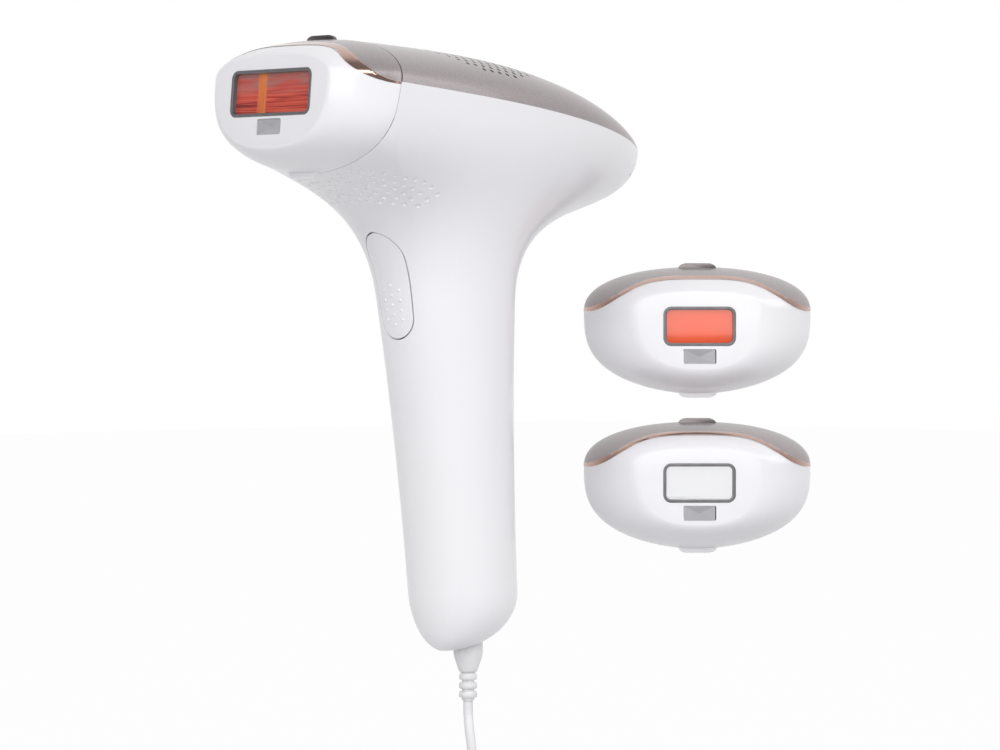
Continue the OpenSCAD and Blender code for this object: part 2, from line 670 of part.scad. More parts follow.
window_r = 2.5;
sensor_size = [10.6, 4.7];
module attachment_shell(kind) color(white) resize([0, 0, 0]) difference() {
    union() {
        difference() { nose_form(kind); nose_form(kind, wall, 5); }
        difference() { tab(-mouth_low); nose_form(kind, 0.6, 5); }
    }
    difference() { above_trim(kind); nose_form(kind, hood_t, 5); }
    translate([0, 0, kind[WINDOW_Z]]) upright(-nose_len - 3, 8) window_opening(kind, frame_t);
    translate([0, 0, kind[SENSOR_Z]]) upright(-nose_len - 3, 8) rounded(sensor_size.x, sensor_size.y, 0.6);
}
module attachment_hood(kind) color(taupe) resize([0, 0, 0]) difference() {
    union() {
        intersection() { nose_form(kind); above_trim(kind, 1); }
        tab(mouth_top);
    }
    nose_form(kind, hood_t, 5);
}
module attachment_trim(kind) color(copper) resize([0, 0, 0]) difference() {
    intersection() { nose_form(kind, -0.12); above_trim(kind); }
    above_trim(kind, 1, 31);
    nose_form(kind, hood_t, 5);
}
frame_depth = 5;
module window_opening(kind, grow = 0) rounded(kind[WINDOW].x - 2 * frame_t + 2 * grow,
    kind[WINDOW].y - 2 * frame_t + 2 * grow, window_r - frame_t + grow);
module window_frame(kind) color(dark) translate([0, 0, kind[WINDOW_Z]]) difference() {
    upright(-nose_len - 0.2, frame_depth) window_opening(kind, frame_t);
    upright(-nose_len - 1, frame_depth + 2) window_opening(kind);
}
glass_y = 1.4;             // the filter lies this deep behind the face
module filter(kind, tint) color(tint) translate([0, 0, kind[WINDOW_Z]]) upright(glass_y - nose_len, filter_t)
    window_opening(kind);
module sensor_window(kind) color([0.75, 0.76, 0.78]) translate([0, 0, kind[SENSOR_Z]])
    upright(0.3 - nose_len, 2) rounded(sensor_size.x, sensor_size.y, 0.6);

tunnel_t = 1;
module tunnel_void(kind, grow) hull() {
    translate([0, 0, kind[WINDOW_Z]]) upright(frame_depth - nose_len - 0.2 - (grow > 0 ? 0 : eps), eps)
        window_opening(kind, grow);
    translate([0, mouth_back + plate_y - 0.9 + (grow > 0 ? 0 : eps), light_z]) rotate([-mouth_tilt, 0, 0])
        upright(0, eps) rounded(lamp_window_w - 5 + 2 * grow, lamp_window_h - 5 + 2 * grow, 1 + grow);
}
module tunnel(kind) color("silver") difference() {
    tunnel_void(kind, tunnel_t);
    tunnel_void(kind, 0);
}
// The ring that carries the tunnel and plugs into the handset's mouth
module ring_step(y, t, inset) translate([0, mouth_back, 0]) rotate([-mouth_tilt, 0, 0])
    upright(y, t) mouth_outline(inset);
module attachment_coupling(kind) color(dark) difference() {
    ring_step(-0.3, 4.5, wall + 0.75);
    ring_step(1, 6, wall + 2);
    tunnel_void(kind, tunnel_t);
    translate([0, 0, sensor_z - 3]) upright(-10, 20) rounded(11, 9, 1);
}

spare_x = 10;
spare_y = 96;
spare_turn = 46;
spare_z = [50.5, 1.3];
module place(i) if (i < 0) in_head() children(); else
    translate([spare_x, spare_y, spare_z[i]]) rotate([0, 0, spare_turn]) children();
amber = [1, 0.49, 0.33, 0.8];
clear_glass = [0.94, 0.95, 0.97, 0.7];

// ---- power supply ----

plug_low = -65;
// Half of the plug's outline from its top to its last rib
plug_profile = concat([[0, plug_top], [4.4, plug_top], [4.5, plug_top - 3.5], [4.2, plug_top - 5.5],
    [3.5, plug_top - 7.5], [2.8, plug_top - 9.3], [2.5, plug_top - 10.4], [1.9, plug_top - 10.6]],
    [for (k = [0:2]) let (z = plug_top - 10.8 - 2.75 * k)
        each [[2.75, z], [2.75, z - 1.9], [1.9, z - 2], [1.9, z - 2.7]]]);
module power_plug() color(white) translate([0, plug_y, 0]) {
    rotate_extrude($fn = 48) polygon(concat(plug_profile, [[1.6, plug_low], [0, plug_low]]));
    translate([0, 0, plug_top - eps]) cylinder(r = jack_r, h = 9.5, $fn = 32);
}

// The cord hangs from the plug to the hank, and leaves it for the adapter
cord_route = [[0, 5, -65], [0, 5, -71], [0.9, 4.5, -76], [3, 3.3, -81], [5.6, 1.8, -86],
              [8.4, 0.8, -91], [11, 0.5, -95.5]];
cord_sides = 8;
module tube(route, r) {
    n = cord_sides;
    points = [for (p = route, k = [0:n - 1]) p + r * [cos(360 * k / n), sin(360 * k / n), 0]];
    last = len(route) - 1;
    polyhedron(points, concat([[for (k = [0:n - 1]) n - 1 - k]],
        [for (i = [0:last - 1], k = [0:n - 1])
            [i * n + k, i * n + (k + 1) % n, (i + 1) * n + (k + 1) % n, (i + 1) * n + k]],
        [[for (k = [0:n - 1]) last * n + k]]));
}
module cord() color(white) tube(cord_route, cord_d / 2);

hank_run = 48;             // straight length of a turn
hank_r = 9;                // centre line of the innermost turn's round ends
hank_rows = 3;
hank_layers = 4;
hank_half_w = hank_r + (hank_rows - 0.5) * cord_d;
hank_t = hank_layers * cord_d;
hank_top = -92;
hank_mid = hank_top - hank_half_w - hank_run / 2;
hank_low = hank_mid - hank_run / 2 - hank_half_w;
module cord_hank() color(white) translate([0, plug_y - hank_t / 2, hank_mid]) upright(0, hank_t) {
    square([2 * hank_half_w, hank_run], center = true);
    for (side = [-1, 1]) translate([0, side * hank_run / 2]) circle(hank_half_w, $fn = 64);
}
tie_t = 1;
tie_w = 5;
module hank_tie() color(dark) translate([0, plug_y, hank_mid - tie_w / 2]) difference() {
    linear_extrude(tie_w) rounded(2 * (hank_half_w + tie_t), hank_t + 2 * tie_t, 2);
    translate([0, 0, -1]) linear_extrude(tie_w + 2) square([2 * hank_half_w, hank_t], center = true);
}

case_w = 46;
case_d = 30;
case_h = 60;
sleeve_h = 10;
sleeve_top = hank_low - 10;
adapter_y = plug_y + 4.5;
case_top = sleeve_top - sleeve_h;
cord_end_route = [[4, 9.5, -172.5], [2, 9.5, -176], [0.6, 9.5, -179.5], [0, 9.5, -183]];
module cord_end() color(white) tube(cord_end_route, cord_d / 2);
module adapter_case() color(white) {
    hull() for (z = [0, case_h - 2], g = [0, 2])
        translate([0, adapter_y, case_top - case_h + z + g / 2]) linear_extrude(2 - g + eps)
            rounded(case_w - 2 + g, case_d - 2 + g, 5);
    translate([0, adapter_y, case_top - eps]) cylinder(r1 = 3.4, r2 = 2.3, h = sleeve_h, $fn = 32);
}
pins_z = case_top - case_h + 16;
pins_y = adapter_y + case_d / 2;
pin_tip = 1;
module adapter_pins() color("silver") for (side = [-1, 1])
    translate([side * mains_pitch / 2, pins_y, pins_z]) rotate([-90, 0, 0]) {
        cylinder(r = mains_pin_r, h = mains_pin_len - pin_tip, $fn = 48);
        translate([0, 0, mains_pin_len - pin_tip])
            cylinder(r1 = mains_pin_r, r2 = mains_pin_r - 0.8, h = pin_tip, $fn = 48);
    }

body_shell();
top_cover();
control_panel();
power_button();
level_button();
level_lights();
flash_button();
button_pin();
button_spring();
button_bracket();
microswitch();
nose_plate();
lamp_window();
reflector();
flash_lamp();
lamp_holders();
trigger_coil();
contact_pads();
skin_sensor();
fan_frame();
fan_rotor();
chassis();
chassis_screws();
capacitor();
main_board();
control_board();
dc_socket();
place(-1) attachment_shell(body_kind);  // fitted_shell
place(-1) attachment_hood(body_kind);  // fitted_hood
place(-1) attachment_trim(body_kind);  // fitted_trim
place(-1) window_frame(body_kind);  // fitted_frame
place(-1) filter(body_kind, amber);  // fitted_filter
place(-1) tunnel(body_kind);  // fitted_tunnel
place(-1) sensor_window(body_kind);  // fitted_sensor_window
place(-1) attachment_coupling(body_kind);  // fitted_coupling
place(0) attachment_shell(small_kind);  // amber_shell
place(0) attachment_hood(small_kind);  // amber_hood
place(0) attachment_trim(small_kind);  // amber_trim
place(0) window_frame(small_kind);  // amber_frame
place(0) filter(small_kind, amber);  // amber_filter
place(0) tunnel(small_kind);  // amber_tunnel
place(0) sensor_window(small_kind);  // amber_sensor_window
place(0) attachment_coupling(small_kind);  // amber_coupling
place(1) attachment_shell(small_kind);  // clear_shell
place(1) attachment_hood(small_kind);  // clear_hood
place(1) attachment_trim(small_kind);  // clear_trim
place(1) window_frame(small_kind);  // clear_frame
place(1) filter(small_kind, clear_glass);  // clear_filter
place(1) tunnel(small_kind);  // clear_tunnel
place(1) sensor_window(small_kind);  // clear_sensor_window
place(1) attachment_coupling(small_kind);  // clear_coupling
power_plug();
cord();
cord_hank();
hank_tie();
cord_end();
adapter_case();
adapter_pins();
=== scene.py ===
"""Looks of a corded light-based hair remover with two spare attachments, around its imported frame."""

from math import asin, atan2, copysign, cos, degrees, hypot, pi, radians, sin, tan

import bmesh
import bpy
from mathutils import Matrix, Vector, kdtree
from mathutils.bvhtree import BVHTree


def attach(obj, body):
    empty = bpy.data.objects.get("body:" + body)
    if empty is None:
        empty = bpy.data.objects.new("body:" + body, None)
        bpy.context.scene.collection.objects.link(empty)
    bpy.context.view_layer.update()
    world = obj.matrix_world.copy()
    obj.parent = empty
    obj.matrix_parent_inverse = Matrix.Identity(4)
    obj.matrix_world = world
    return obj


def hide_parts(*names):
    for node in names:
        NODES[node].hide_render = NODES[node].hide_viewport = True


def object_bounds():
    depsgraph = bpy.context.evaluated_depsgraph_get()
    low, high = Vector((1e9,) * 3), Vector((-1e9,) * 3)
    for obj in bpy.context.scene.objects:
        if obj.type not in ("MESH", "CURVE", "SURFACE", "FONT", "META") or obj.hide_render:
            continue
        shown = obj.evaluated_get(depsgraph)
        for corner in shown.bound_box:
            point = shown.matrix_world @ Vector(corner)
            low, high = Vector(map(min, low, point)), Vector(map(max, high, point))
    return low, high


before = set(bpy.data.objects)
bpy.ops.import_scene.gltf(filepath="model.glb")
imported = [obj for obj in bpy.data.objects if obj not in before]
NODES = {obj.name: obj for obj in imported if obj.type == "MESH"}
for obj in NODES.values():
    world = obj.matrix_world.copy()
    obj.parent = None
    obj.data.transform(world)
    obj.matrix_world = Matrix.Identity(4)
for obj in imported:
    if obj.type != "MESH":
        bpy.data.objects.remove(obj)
cad_low, cad_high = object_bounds()

MM = 0.001
SHARP = 50          # edges that turn by more than this many degrees are rounded

# ------------------------------ camera

scene = bpy.context.scene
scene.view_settings.view_transform = "Standard"

CAMERA_AT = (1.0100, -0.9569, 0.0504)   # row frame, metres
LOOK_BACK = (0.7192, -0.6946, 0.01406)  # from the subject to the camera
LENS_MM = 164.56


def place_camera():
    back = Vector(LOOK_BACK).normalized()
    right = Vector((-back.y, back.x, 0)).normalized()
    up = back.cross(right)
    data = bpy.data.cameras.new("camera")
    data.lens = LENS_MM
    data.sensor_width = 36
    data.clip_start = 0.05
    data.clip_end = 20
    camera = bpy.data.objects.new("camera", data)
    turn = Matrix((right, up, back)).transposed().to_4x4()
    camera.matrix_world = Matrix.Translation(CAMERA_AT) @ turn
    scene.collection.objects.link(camera)
    scene.camera = camera


place_camera()

# ------------------------------ modelling helpers


def select(*pieces):
    """Selects only these pieces; the first is the active one."""
    bpy.ops.object.select_all(action="DESELECT")
    for piece in pieces:
        piece.select_set(True)
    bpy.context.view_layer.objects.active = pieces[0]


def named(piece, name):
    piece.name = piece.data.name = name
    return piece


def weld(piece, reach, outwards=False):
    """Merges the points that lie within reach of each other, in metres."""
    select(piece)
    bpy.ops.object.mode_set(mode="EDIT")
    bpy.ops.mesh.select_all(action="SELECT")
    bpy.ops.mesh.remove_doubles(threshold=reach)
    if outwards:
        bpy.ops.mesh.normals_make_consistent(inside=False)
    bpy.ops.object.mode_set(mode="OBJECT")
    return piece


def new_mesh(name, points, faces):
    """A piece from points in millimetres."""
    mesh = bpy.data.meshes.new(name)
    mesh.from_pydata([Vector(p) * MM for p in points], [], faces)
    mesh.validate()
    piece = bpy.data.objects.new(name, mesh)
    scene.collection.objects.link(piece)
    return weld(piece, 0.00001, outwards=True)


def applied(piece, modifier):
    select(piece)
    bpy.ops.object.modifier_apply(modifier=modifier.name)
    return piece


def cut(piece, tool, operation="DIFFERENCE"):
    """Boolean of piece with tool, applied at once."""
    modifier = piece.modifiers.new("cut", "BOOLEAN")
    modifier.operation = operation
    modifier.solver = "EXACT"
    modifier.object = tool
    applied(piece, modifier)
    bpy.data.objects.remove(tool)
    return piece


def thicken(piece, depth):
    """Turns a sheet into a wall that lies behind it."""
    modifier = piece.modifiers.new("wall", "SOLIDIFY")
    modifier.thickness = depth * MM
    modifier.offset = -1
    modifier.use_even_offset = True
    modifier.use_quality_normals = True
    return applied(piece, modifier)


def soften(piece, width, segments=2):
    """Rounds the sharp edges of a piece by width millimetres."""
    modifier = piece.modifiers.new("round", "BEVEL")
    modifier.width = width * MM
    modifier.segments = segments
    modifier.limit_method = "ANGLE"
    modifier.angle_limit = radians(SHARP)
    return applied(piece, modifier)


def smooth(piece, angle=40):
    select(piece)
    bpy.ops.object.shade_smooth_by_angle(angle=radians(angle))
    return piece


def join(name, pieces):
    select(*pieces)
    bpy.ops.object.join()
    return named(pieces[0], name)


def twin(piece, name, matrix):
    """A copy of a piece with its own mesh, moved by the matrix."""
    copy = piece.copy()
    copy.data = piece.data.copy()
    scene.collection.objects.link(copy)
    copy.data.transform(matrix)
    return named(copy, name)


def in_mm(matrix):
    """The matrix, whose shift is in millimetres, as one for meshes in metres."""
    moved = matrix.copy()
    moved.translation = matrix.translation * MM
    return moved


UP = Vector((0, 0, 1))
UPRIGHT = Matrix.Identity(4)


def prism(name, outline, near, far, basis=UPRIGHT):
    """A closed prism over an x-z outline, from y = near to y = far, in the frame basis, in millimetres."""
    count = len(outline)
    points = [basis @ Vector((x, near, z)) for x, z in outline]
    points += [basis @ Vector((x, far, z)) for x, z in outline]
    faces = [list(range(count)), list(range(2 * count - 1, count - 1, -1))]
    faces += [[i, (i + 1) % count, count + (i + 1) % count, count + i] for i in range(count)]
    return new_mesh(name, points, faces)


def arc(radius, start, stop, steps, x=0.0, z=0.0):
    """Points of an arc between two bearings in degrees, round a centre."""
    bearings = [radians(start + (stop - start) * i / steps) for i in range(steps + 1)]
    return [(x + radius * cos(a), z + radius * sin(a)) for a in bearings]


def rounded(width, height, radius, centre=(0, 0), steps=8):
    """Outline of a rectangle with round corners."""
    points = []
    for corner, (sx, sz) in enumerate(((1, 1), (-1, 1), (-1, -1), (1, -1))):
        points += arc(radius, 90 * corner, 90 * corner + 90, steps, centre[0] + sx * (width / 2 - radius),
                      centre[1] + sz * (height / 2 - radius))
    return points


def clip(piece, point, normal):
    """Cuts a piece by a plane, in millimetres, and keeps the side that the normal points away from."""
    cage = bmesh.new()
    cage.from_mesh(piece.data)
    everything = cage.verts[:] + cage.edges[:] + cage.faces[:]
    bmesh.ops.bisect_plane(cage, geom=everything, plane_co=Vector(point) * MM,
                           plane_no=Vector(normal), clear_outer=True, dist=1e-7)
    cage.to_mesh(piece.data)
    cage.free()


def ring_faces(rings, count, closed):
    """Quads between rings of count points; a closed ring's last point joins its first."""
    span = count if closed else count - 1
    steps = [(k, (k + 1) % count) for k in range(span)]
    return [[i + k, i + after, i + count + after, i + count + k]
            for i in range(0, (rings - 1) * count, count) for k, after in steps]


def last_added(name):
    """Names the primitive that was just added and puts its place into its mesh."""
    bpy.ops.object.transform_apply(location=True, rotation=True, scale=True)
    return named(bpy.context.object, name)


def cylinder(name, radius, start, stop, sides=48):
    """A closed cylinder between two points in millimetres."""
    start, stop = Vector(start), Vector(stop)
    bpy.ops.mesh.primitive_cylinder_add(vertices=sides, radius=radius * MM, depth=(stop - start).length * MM,
                                        location=(start + stop) / 2 * MM,
                                        rotation=(stop - start).to_track_quat("Z", "Y").to_euler())
    return last_added(name)


def ball(name, centre, radius, around, up):
    """A closed sphere, in millimetres."""
    bpy.ops.mesh.primitive_uv_sphere_add(segments=around, ring_count=up, radius=radius * MM,
                                         location=Vector(centre) * MM)
    return last_added(name)


def block(name, low, high):
    """A closed box between two corners in millimetres."""
    low, high = Vector(low), Vector(high)
    bpy.ops.mesh.primitive_cube_add(size=MM, location=(low + high) / 2 * MM, scale=high - low)
    return last_added(name)


def lathe(name, profile, base, axis, sides=48):
    """A closed turned piece; its profile, (radius, way along) in millimetres, begins and ends on the axis."""
    turn = Matrix.Translation(base) @ Vector(axis).to_track_quat("Z", "Y").to_matrix().to_4x4()
    points = [turn @ Vector((r * cos(2 * pi * k / sides), r * sin(2 * pi * k / sides), z))
              for r, z in profile for k in range(sides)]
    return new_mesh(name, points, ring_faces(len(profile), sides, True))


def face_out(sheet, outward):
    """Turns an open sheet so that its faces point along outward on the whole."""
    total = sum((f.normal * f.area for f in sheet.data.polygons), Vector())
    if total.dot(outward) < 0:
        sheet.data.flip_normals()
    return sheet


def skin_of(piece):
    """The surface of a piece, to cast rays at."""
    mesh = piece.data
    return BVHTree.FromPolygons([v.co for v in mesh.vertices], [list(f.vertices) for f in mesh.polygons])


# ------------------------------ form of the handset

HALF_W = 36.0
HEAD_LEN = 136.0
CROWN_H = 15.6
CROWN_DIP = 2.0
SEAM_DROP = 6.8
BELL_LEN = 37.3
WALL = 2.2
GRIP_TOP_Z = 53.0
GRIP_END_Z = -53.0
GRIP_TOP = (18.5, 22.2)
GRIP_END = (15.0, 17.1)
GRIP_SQUARE = 2.15
AXIS_TOP_Y = -4.2
GRIP_LEAN = 0.079
END_ROUND = 18.0
END_SHIFT = 9.5
MOUTH_BACK = 2.2
MOUTH_TILT = 4.75
SEAM_FORM, CROWN_FORM = (3.75, 0.81), (4.24, 1.27)      # (m, k) of (1 - s^m)^k
SEAM_BEND = 2.76
CROWN_SQUARE = 0.91
BELL_SQUARE = 1.665

HEAD = Matrix.Translation((0, -58, 117)) @ Matrix.Rotation(radians(-5), 4, "X")
MOUTH = HEAD @ Matrix.Translation((0, MOUTH_BACK, 0)) @ Matrix.Rotation(radians(-MOUTH_TILT), 4, "X")


def power(x, e):
    return x ** e if x > 0 else 0.0


def lobe(x, e):
    return copysign(power(abs(x), e), x)


def taper(share, form):
    m, k = form
    return power(1 - power(share, m), k)


def seam_x(d):
    """Half width of the head where it is d from the mouth."""
    return HALF_W * taper(d / HEAD_LEN, SEAM_FORM)


def seam_z(d):
    return -SEAM_DROP * power(d / HEAD_LEN, SEAM_BEND)


def crown_z(d):
    """Height of the crown above the seam."""
    height = CROWN_H - CROWN_DIP * power(1 - d / 60, 1.5)
    return height * taper(d / HEAD_LEN, CROWN_FORM)


def ridge_z(d):
    return seam_z(d) + crown_z(d)


def crown_point(d, a):
    """Point of the crown at bearing a, in degrees from the right seam over the top."""
    across, up = (lobe(share, CROWN_SQUARE) for share in (cos(radians(a)), sin(radians(a))))
    return HEAD @ Vector((seam_x(d) * across, d, seam_z(d) + crown_z(d) * up))


def rim_point(t):
    """The loop that the flare hangs from: 0 at the tip, 1 at the mouth, 2 in front of it."""
    if t <= 1:
        d = HEAD_LEN * (1 - t ** 1.8)
        return HEAD @ Vector((seam_x(d), d, seam_z(d)))
    a = radians(90 * (t - 1))
    return HEAD @ Vector((HALF_W * power(cos(a), BELL_SQUARE), -BELL_LEN * power(sin(a), BELL_SQUARE), 0))


def grip_point(a, half_w, half_d, y, z):
    return Vector((half_w * lobe(sin(a), 2 / GRIP_SQUARE), y + half_d * lobe(cos(a), 2 / GRIP_SQUARE), z))


DOWN = HEAD.to_3x3() @ -UP


def flare_point(start, t):
    """Point of the smooth curve from the loop down onto the handle."""
    a = atan2(start.x, start.y - AXIS_TOP_Y)
    end = grip_point(a, GRIP_TOP[0], GRIP_TOP[1], AXIS_TOP_Y, GRIP_TOP_Z)
    front = (1 - cos(a)) / 2
    reach = (end - start).length
    along = Vector((-0.049 * sin(a), GRIP_LEAN - 0.078 * cos(a), -1))
    return ((2 * t ** 3 - 3 * t ** 2 + 1) * start
            + (t ** 3 - 2 * t ** 2 + t) * reach * (0.872 + 0.459 * front) * DOWN
            + (3 * t ** 2 - 2 * t ** 3) * end
            + (t ** 3 - t ** 2) * reach * (1.374 + 0.4 * front) * along)


def handle_point(start, s):
    """Point of the handle below the flare; s runs from 0 at its upper end to 1 at its foot."""
    a = atan2(start.x, start.y - AXIS_TOP_Y)
    z = GRIP_TOP_Z - (GRIP_TOP_Z - GRIP_END_Z) * (1 - (1 - s) ** 1.6)
    u = (GRIP_TOP_Z - z) / (GRIP_TOP_Z - GRIP_END_Z)
    r = (z - GRIP_END_Z) / END_ROUND
    shrink = power(1 - (1 - r) ** 2, 0.5) if r < 1 else 1
    half_w = GRIP_TOP[0] + (GRIP_END[0] - GRIP_TOP[0]) * u
    half_d = GRIP_TOP[1] - (GRIP_TOP[1] - GRIP_END[1]) * (2.4 * u - 1.4 * u * u)
    axis_y = AXIS_TOP_Y + GRIP_LEAN * (GRIP_TOP_Z - z) - END_SHIFT * (1 - shrink)
    return grip_point(a, half_w * shrink, half_d * shrink, axis_y, z)


SEAM_STEPS, BELL_STEPS, FLARE_STEPS, GRIP_STEPS = 72, 26, 56, 60


def flare_sheet(name, foot=True):
    """The white outer surface: flare and handle, from the seam down to the handle's foot."""
    half = [rim_point(i / SEAM_STEPS) for i in range(SEAM_STEPS)]
    half += [rim_point(1 + i / BELL_STEPS) for i in range(BELL_STEPS + 1)]
    loop = half + [Vector((-p.x, p.y, p.z)) for p in half[-2:0:-1]]
    rings = [[flare_point(p, i / FLARE_STEPS) for p in loop] for i in range(FLARE_STEPS + 1)]
    rings += [[handle_point(p, i / GRIP_STEPS) for p in loop] for i in range(1, GRIP_STEPS)]
    points = [p for ring in rings for p in ring]
    faces = ring_faces(len(rings), len(loop), True)
    if foot:
        last = len(points) - len(loop)
        points.append(sum((points[last + k] for k in range(len(loop))), Vector()) / len(loop))
        faces += [[last + k, last + (k + 1) % len(loop), len(points) - 1] for k in range(len(loop))]
    return new_mesh(name, points, faces)


def crown_sheet(name):
    """The outer surface of the crown, from the right seam over the top to the left."""
    rows = [-2.0] + [HEAD_LEN * (1 - (1 - i / SEAM_STEPS) ** 1.8) for i in range(SEAM_STEPS + 1)]
    bearings = [4 * k for k in range(46)]
    points = [crown_point(d, a) if d >= 0 else crown_point(0, a) + d * (HEAD.to_3x3() @ Vector((0, 1, 0)))
              for d in rows for a in bearings]
    sheet = new_mesh(name, points, ring_faces(len(rows), len(bearings), False))
    return face_out(sheet, UP)


def cut_mouth(sheet, back=0.0):
    """Takes away what lies in front of the mouth's plane, moved back."""
    normal = MOUTH.to_3x3() @ Vector((0, -1, 0))
    clip(sheet, MOUTH @ Vector((0, back, 0)), normal)


def edge_planes(outline, basis):
    """A point in millimetres and the normal of each plane through an edge of an x-z outline, along the
    y axis of the frame basis."""
    axes = basis.to_3x3()
    return [(basis @ Vector((x0, 0, z0)), axes @ Vector((z1 - z0, 0, x0 - x1)))
            for (x0, z0), (x1, z1) in zip(outline, outline[1:] + outline[:1])
            if hypot(x1 - x0, z1 - z0) > 1e-6]


def clip_to_outline(sheet, outline, basis):
    """Keeps what lies within a convex outline, seen along the frame's y axis."""
    for point, normal in edge_planes(outline, basis):
        clip(sheet, point, normal)


def pierce(sheet, outline, basis, near, far):
    """Cuts a convex opening into a sheet: an x-z outline seen along the frame's y axis."""
    cage = bmesh.new()
    cage.from_mesh(sheet.data)
    flat = basis.inverted()
    xs, zs = [p[0] for p in outline], [p[1] for p in outline]
    margin = 3.0

    def close_by(vert):
        x, y, z = flat @ (vert.co / MM)
        return (min(xs) - margin < x < max(xs) + margin and min(zs) - margin < z < max(zs) + margin
                and near < y < far)

    faces = {f for v in cage.verts if close_by(v) for f in v.link_faces}
    live = list(faces) + list({e for f in faces for e in f.edges}) + list({v for f in faces for v in f.verts})
    planes = [(point * MM, normal) for point, normal in edge_planes(outline, basis)]
    for point, normal in planes:
        live = bmesh.ops.bisect_plane(cage, geom=live, plane_co=point, plane_no=normal, dist=1e-7)["geom"]
    inside = [f for f in live if isinstance(f, bmesh.types.BMFace)
              and all((f.calc_center_median() - point).dot(normal) < 0 for point, normal in planes)]
    bmesh.ops.delete(cage, geom=inside, context="FACES")
    cage.to_mesh(sheet.data)
    cage.free()


# ------------------------------ materials

def feed(owner, node, sockets):
    """Gives each named socket of a node a value, or another node's output."""
    for socket, value in sockets.items():
        if isinstance(value, bpy.types.NodeSocket):
            owner.node_tree.links.new(value, node.inputs[socket])
        else:
            node.inputs[socket].default_value = value


def add_node(owner, kind, sockets, operation=None):
    """A new node in a material or the world."""
    node = owner.node_tree.nodes.new("ShaderNode" + kind)
    if operation:
        node.operation = operation
    feed(owner, node, sockets)
    return node


def principled(finish):
    return finish.node_tree.nodes["Principled BSDF"]


def noise(finish, scale, detail=3.0):
    """A noise on Object coordinates; scale is in cycles per metre, for all axes or for each."""
    place_at = add_node(finish, "TexCoord", {}).outputs["Object"]
    if isinstance(scale, tuple):
        place_at = add_node(finish, "Mapping", {"Scale": scale, "Vector": place_at}).outputs["Vector"]
        scale = 1.0
    return add_node(finish, "TexNoise", {"Scale": scale, "Detail": detail, "Vector": place_at}).outputs["Fac"]


def ramp(finish, factor, *stops):
    """The colours of the stops, each at its place between 0 and 1."""
    node = add_node(finish, "ValToRGB", {"Fac": factor})
    elements = node.color_ramp.elements
    while len(elements) < len(stops):
        elements.new(0.5)
    for element, (at, colour) in zip(elements, stops):
        element.position = at
        element.color = (*colour, 1)
    return node.outputs["Color"]


def blend(finish, factor, first, second):
    return add_node(finish, "MixRGB", {"Fac": factor, "Color1": first, "Color2": second}).outputs["Color"]


def surface(name, colour, roughness, shades=None, sheen=None, relief=None,
            metallic=0.0, coat=0.0, coat_roughness=0.04, ior=1.5, clearness=0.0):
    """A material. Over noises of their own scales, its colour drifts between two shades (scale, first,
    second), its roughness varies (scale, low, high) and a fine relief rises, in metres (scale, depth)."""
    finish = bpy.data.materials.new(name)
    finish.use_nodes = True
    sockets = {"Base Color": (*colour, 1), "Roughness": roughness, "Metallic": metallic, "Coat Weight": coat,
               "Coat Roughness": coat_roughness, "IOR": ior, "Transmission Weight": clearness}
    if shades:
        scale, first, second, *ends = shades
        low, high = ends or (0.35, 0.65)
        sockets["Base Color"] = ramp(finish, noise(finish, scale), (low, first), (high, second))
    if sheen:
        scale, low, high = sheen
        spread = add_node(finish, "MapRange", {"To Min": low, "To Max": high, "Value": noise(finish, scale)})
        sockets["Roughness"] = spread.outputs["Result"]
    if relief:
        scale, depth = relief
        height = noise(finish, scale, 2.0)
        bump = add_node(finish, "Bump", {"Strength": 1.0, "Distance": depth, "Height": height})
        sockets["Normal"] = bump.outputs["Normal"]
    feed(finish, principled(finish), sockets)
    return finish


def pearl_lacquer():
    """The cover's lacquer. Where the attribute bore is 1, it gives way to near-black painted shade in the
    vent bores.
    """
    finish = surface("pearl_lacquer", (0.34, 0.30, 0.305), 0.34,
                     (2600, (0.29, 0.254, 0.257), (0.385, 0.343, 0.347), 0.3, 0.7), (1800, 0.28, 0.42),
                     (3200, 0.000003), metallic=0.25, coat=0.4, coat_roughness=0.06)
    bore = add_node(finish, "Attribute", {})
    bore.attribute_name = "bore"
    lacquer = principled(finish).inputs["Base Color"].links[0].from_socket
    # painted shade: the vent bores are turned near black
    bore_shade = blend(finish, bore.outputs["Fac"], lacquer, (0.02, 0.017, 0.017, 1))
    feed(finish, principled(finish), {"Base Color": bore_shade})
    return finish


def satin_metal(name, colour, roughness=0.28, scale=700):
    return surface(name, colour, roughness, (scale / 4, tuple(0.93 * c for c in colour), colour),
                   (scale, roughness * 0.8, roughness * 1.25), (scale * 2, 0.000003), metallic=1.0)


def streaked_mirror():
    """Rolled reflector sheet: bright, with fine streaks that run across the light path."""
    finish = surface("streaked_mirror", (0.9, 0.9, 0.89), 0.16, sheen=(500, 0.12, 0.22), metallic=1.0)
    streaks = noise(finish, (18, 60, 900), 2.0)
    shades = ramp(finish, streaks, (0.38, (0.34, 0.33, 0.33)), (0.58, (0.95, 0.95, 0.94)))
    feed(finish, principled(finish), {"Base Color": shades})
    return finish


def plain_plastic(name, colour, roughness=0.5, scale=1500, depth=0.000010):
    return surface(name, colour, roughness, (scale / 30, tuple(0.92 * c for c in colour), colour),
                   (scale / 8, roughness * 0.88, min(1.0, roughness * 1.15)), (scale, depth))


def filter_glass(name, tint, clearness):
    """Coated optical glass: clearness is how much of it lets light straight through."""
    return surface(name, tint, 0.02, sheen=(90, 0.02, 0.04), coat=0.6, coat_roughness=0.02, ior=1.46,
                   clearness=clearness)


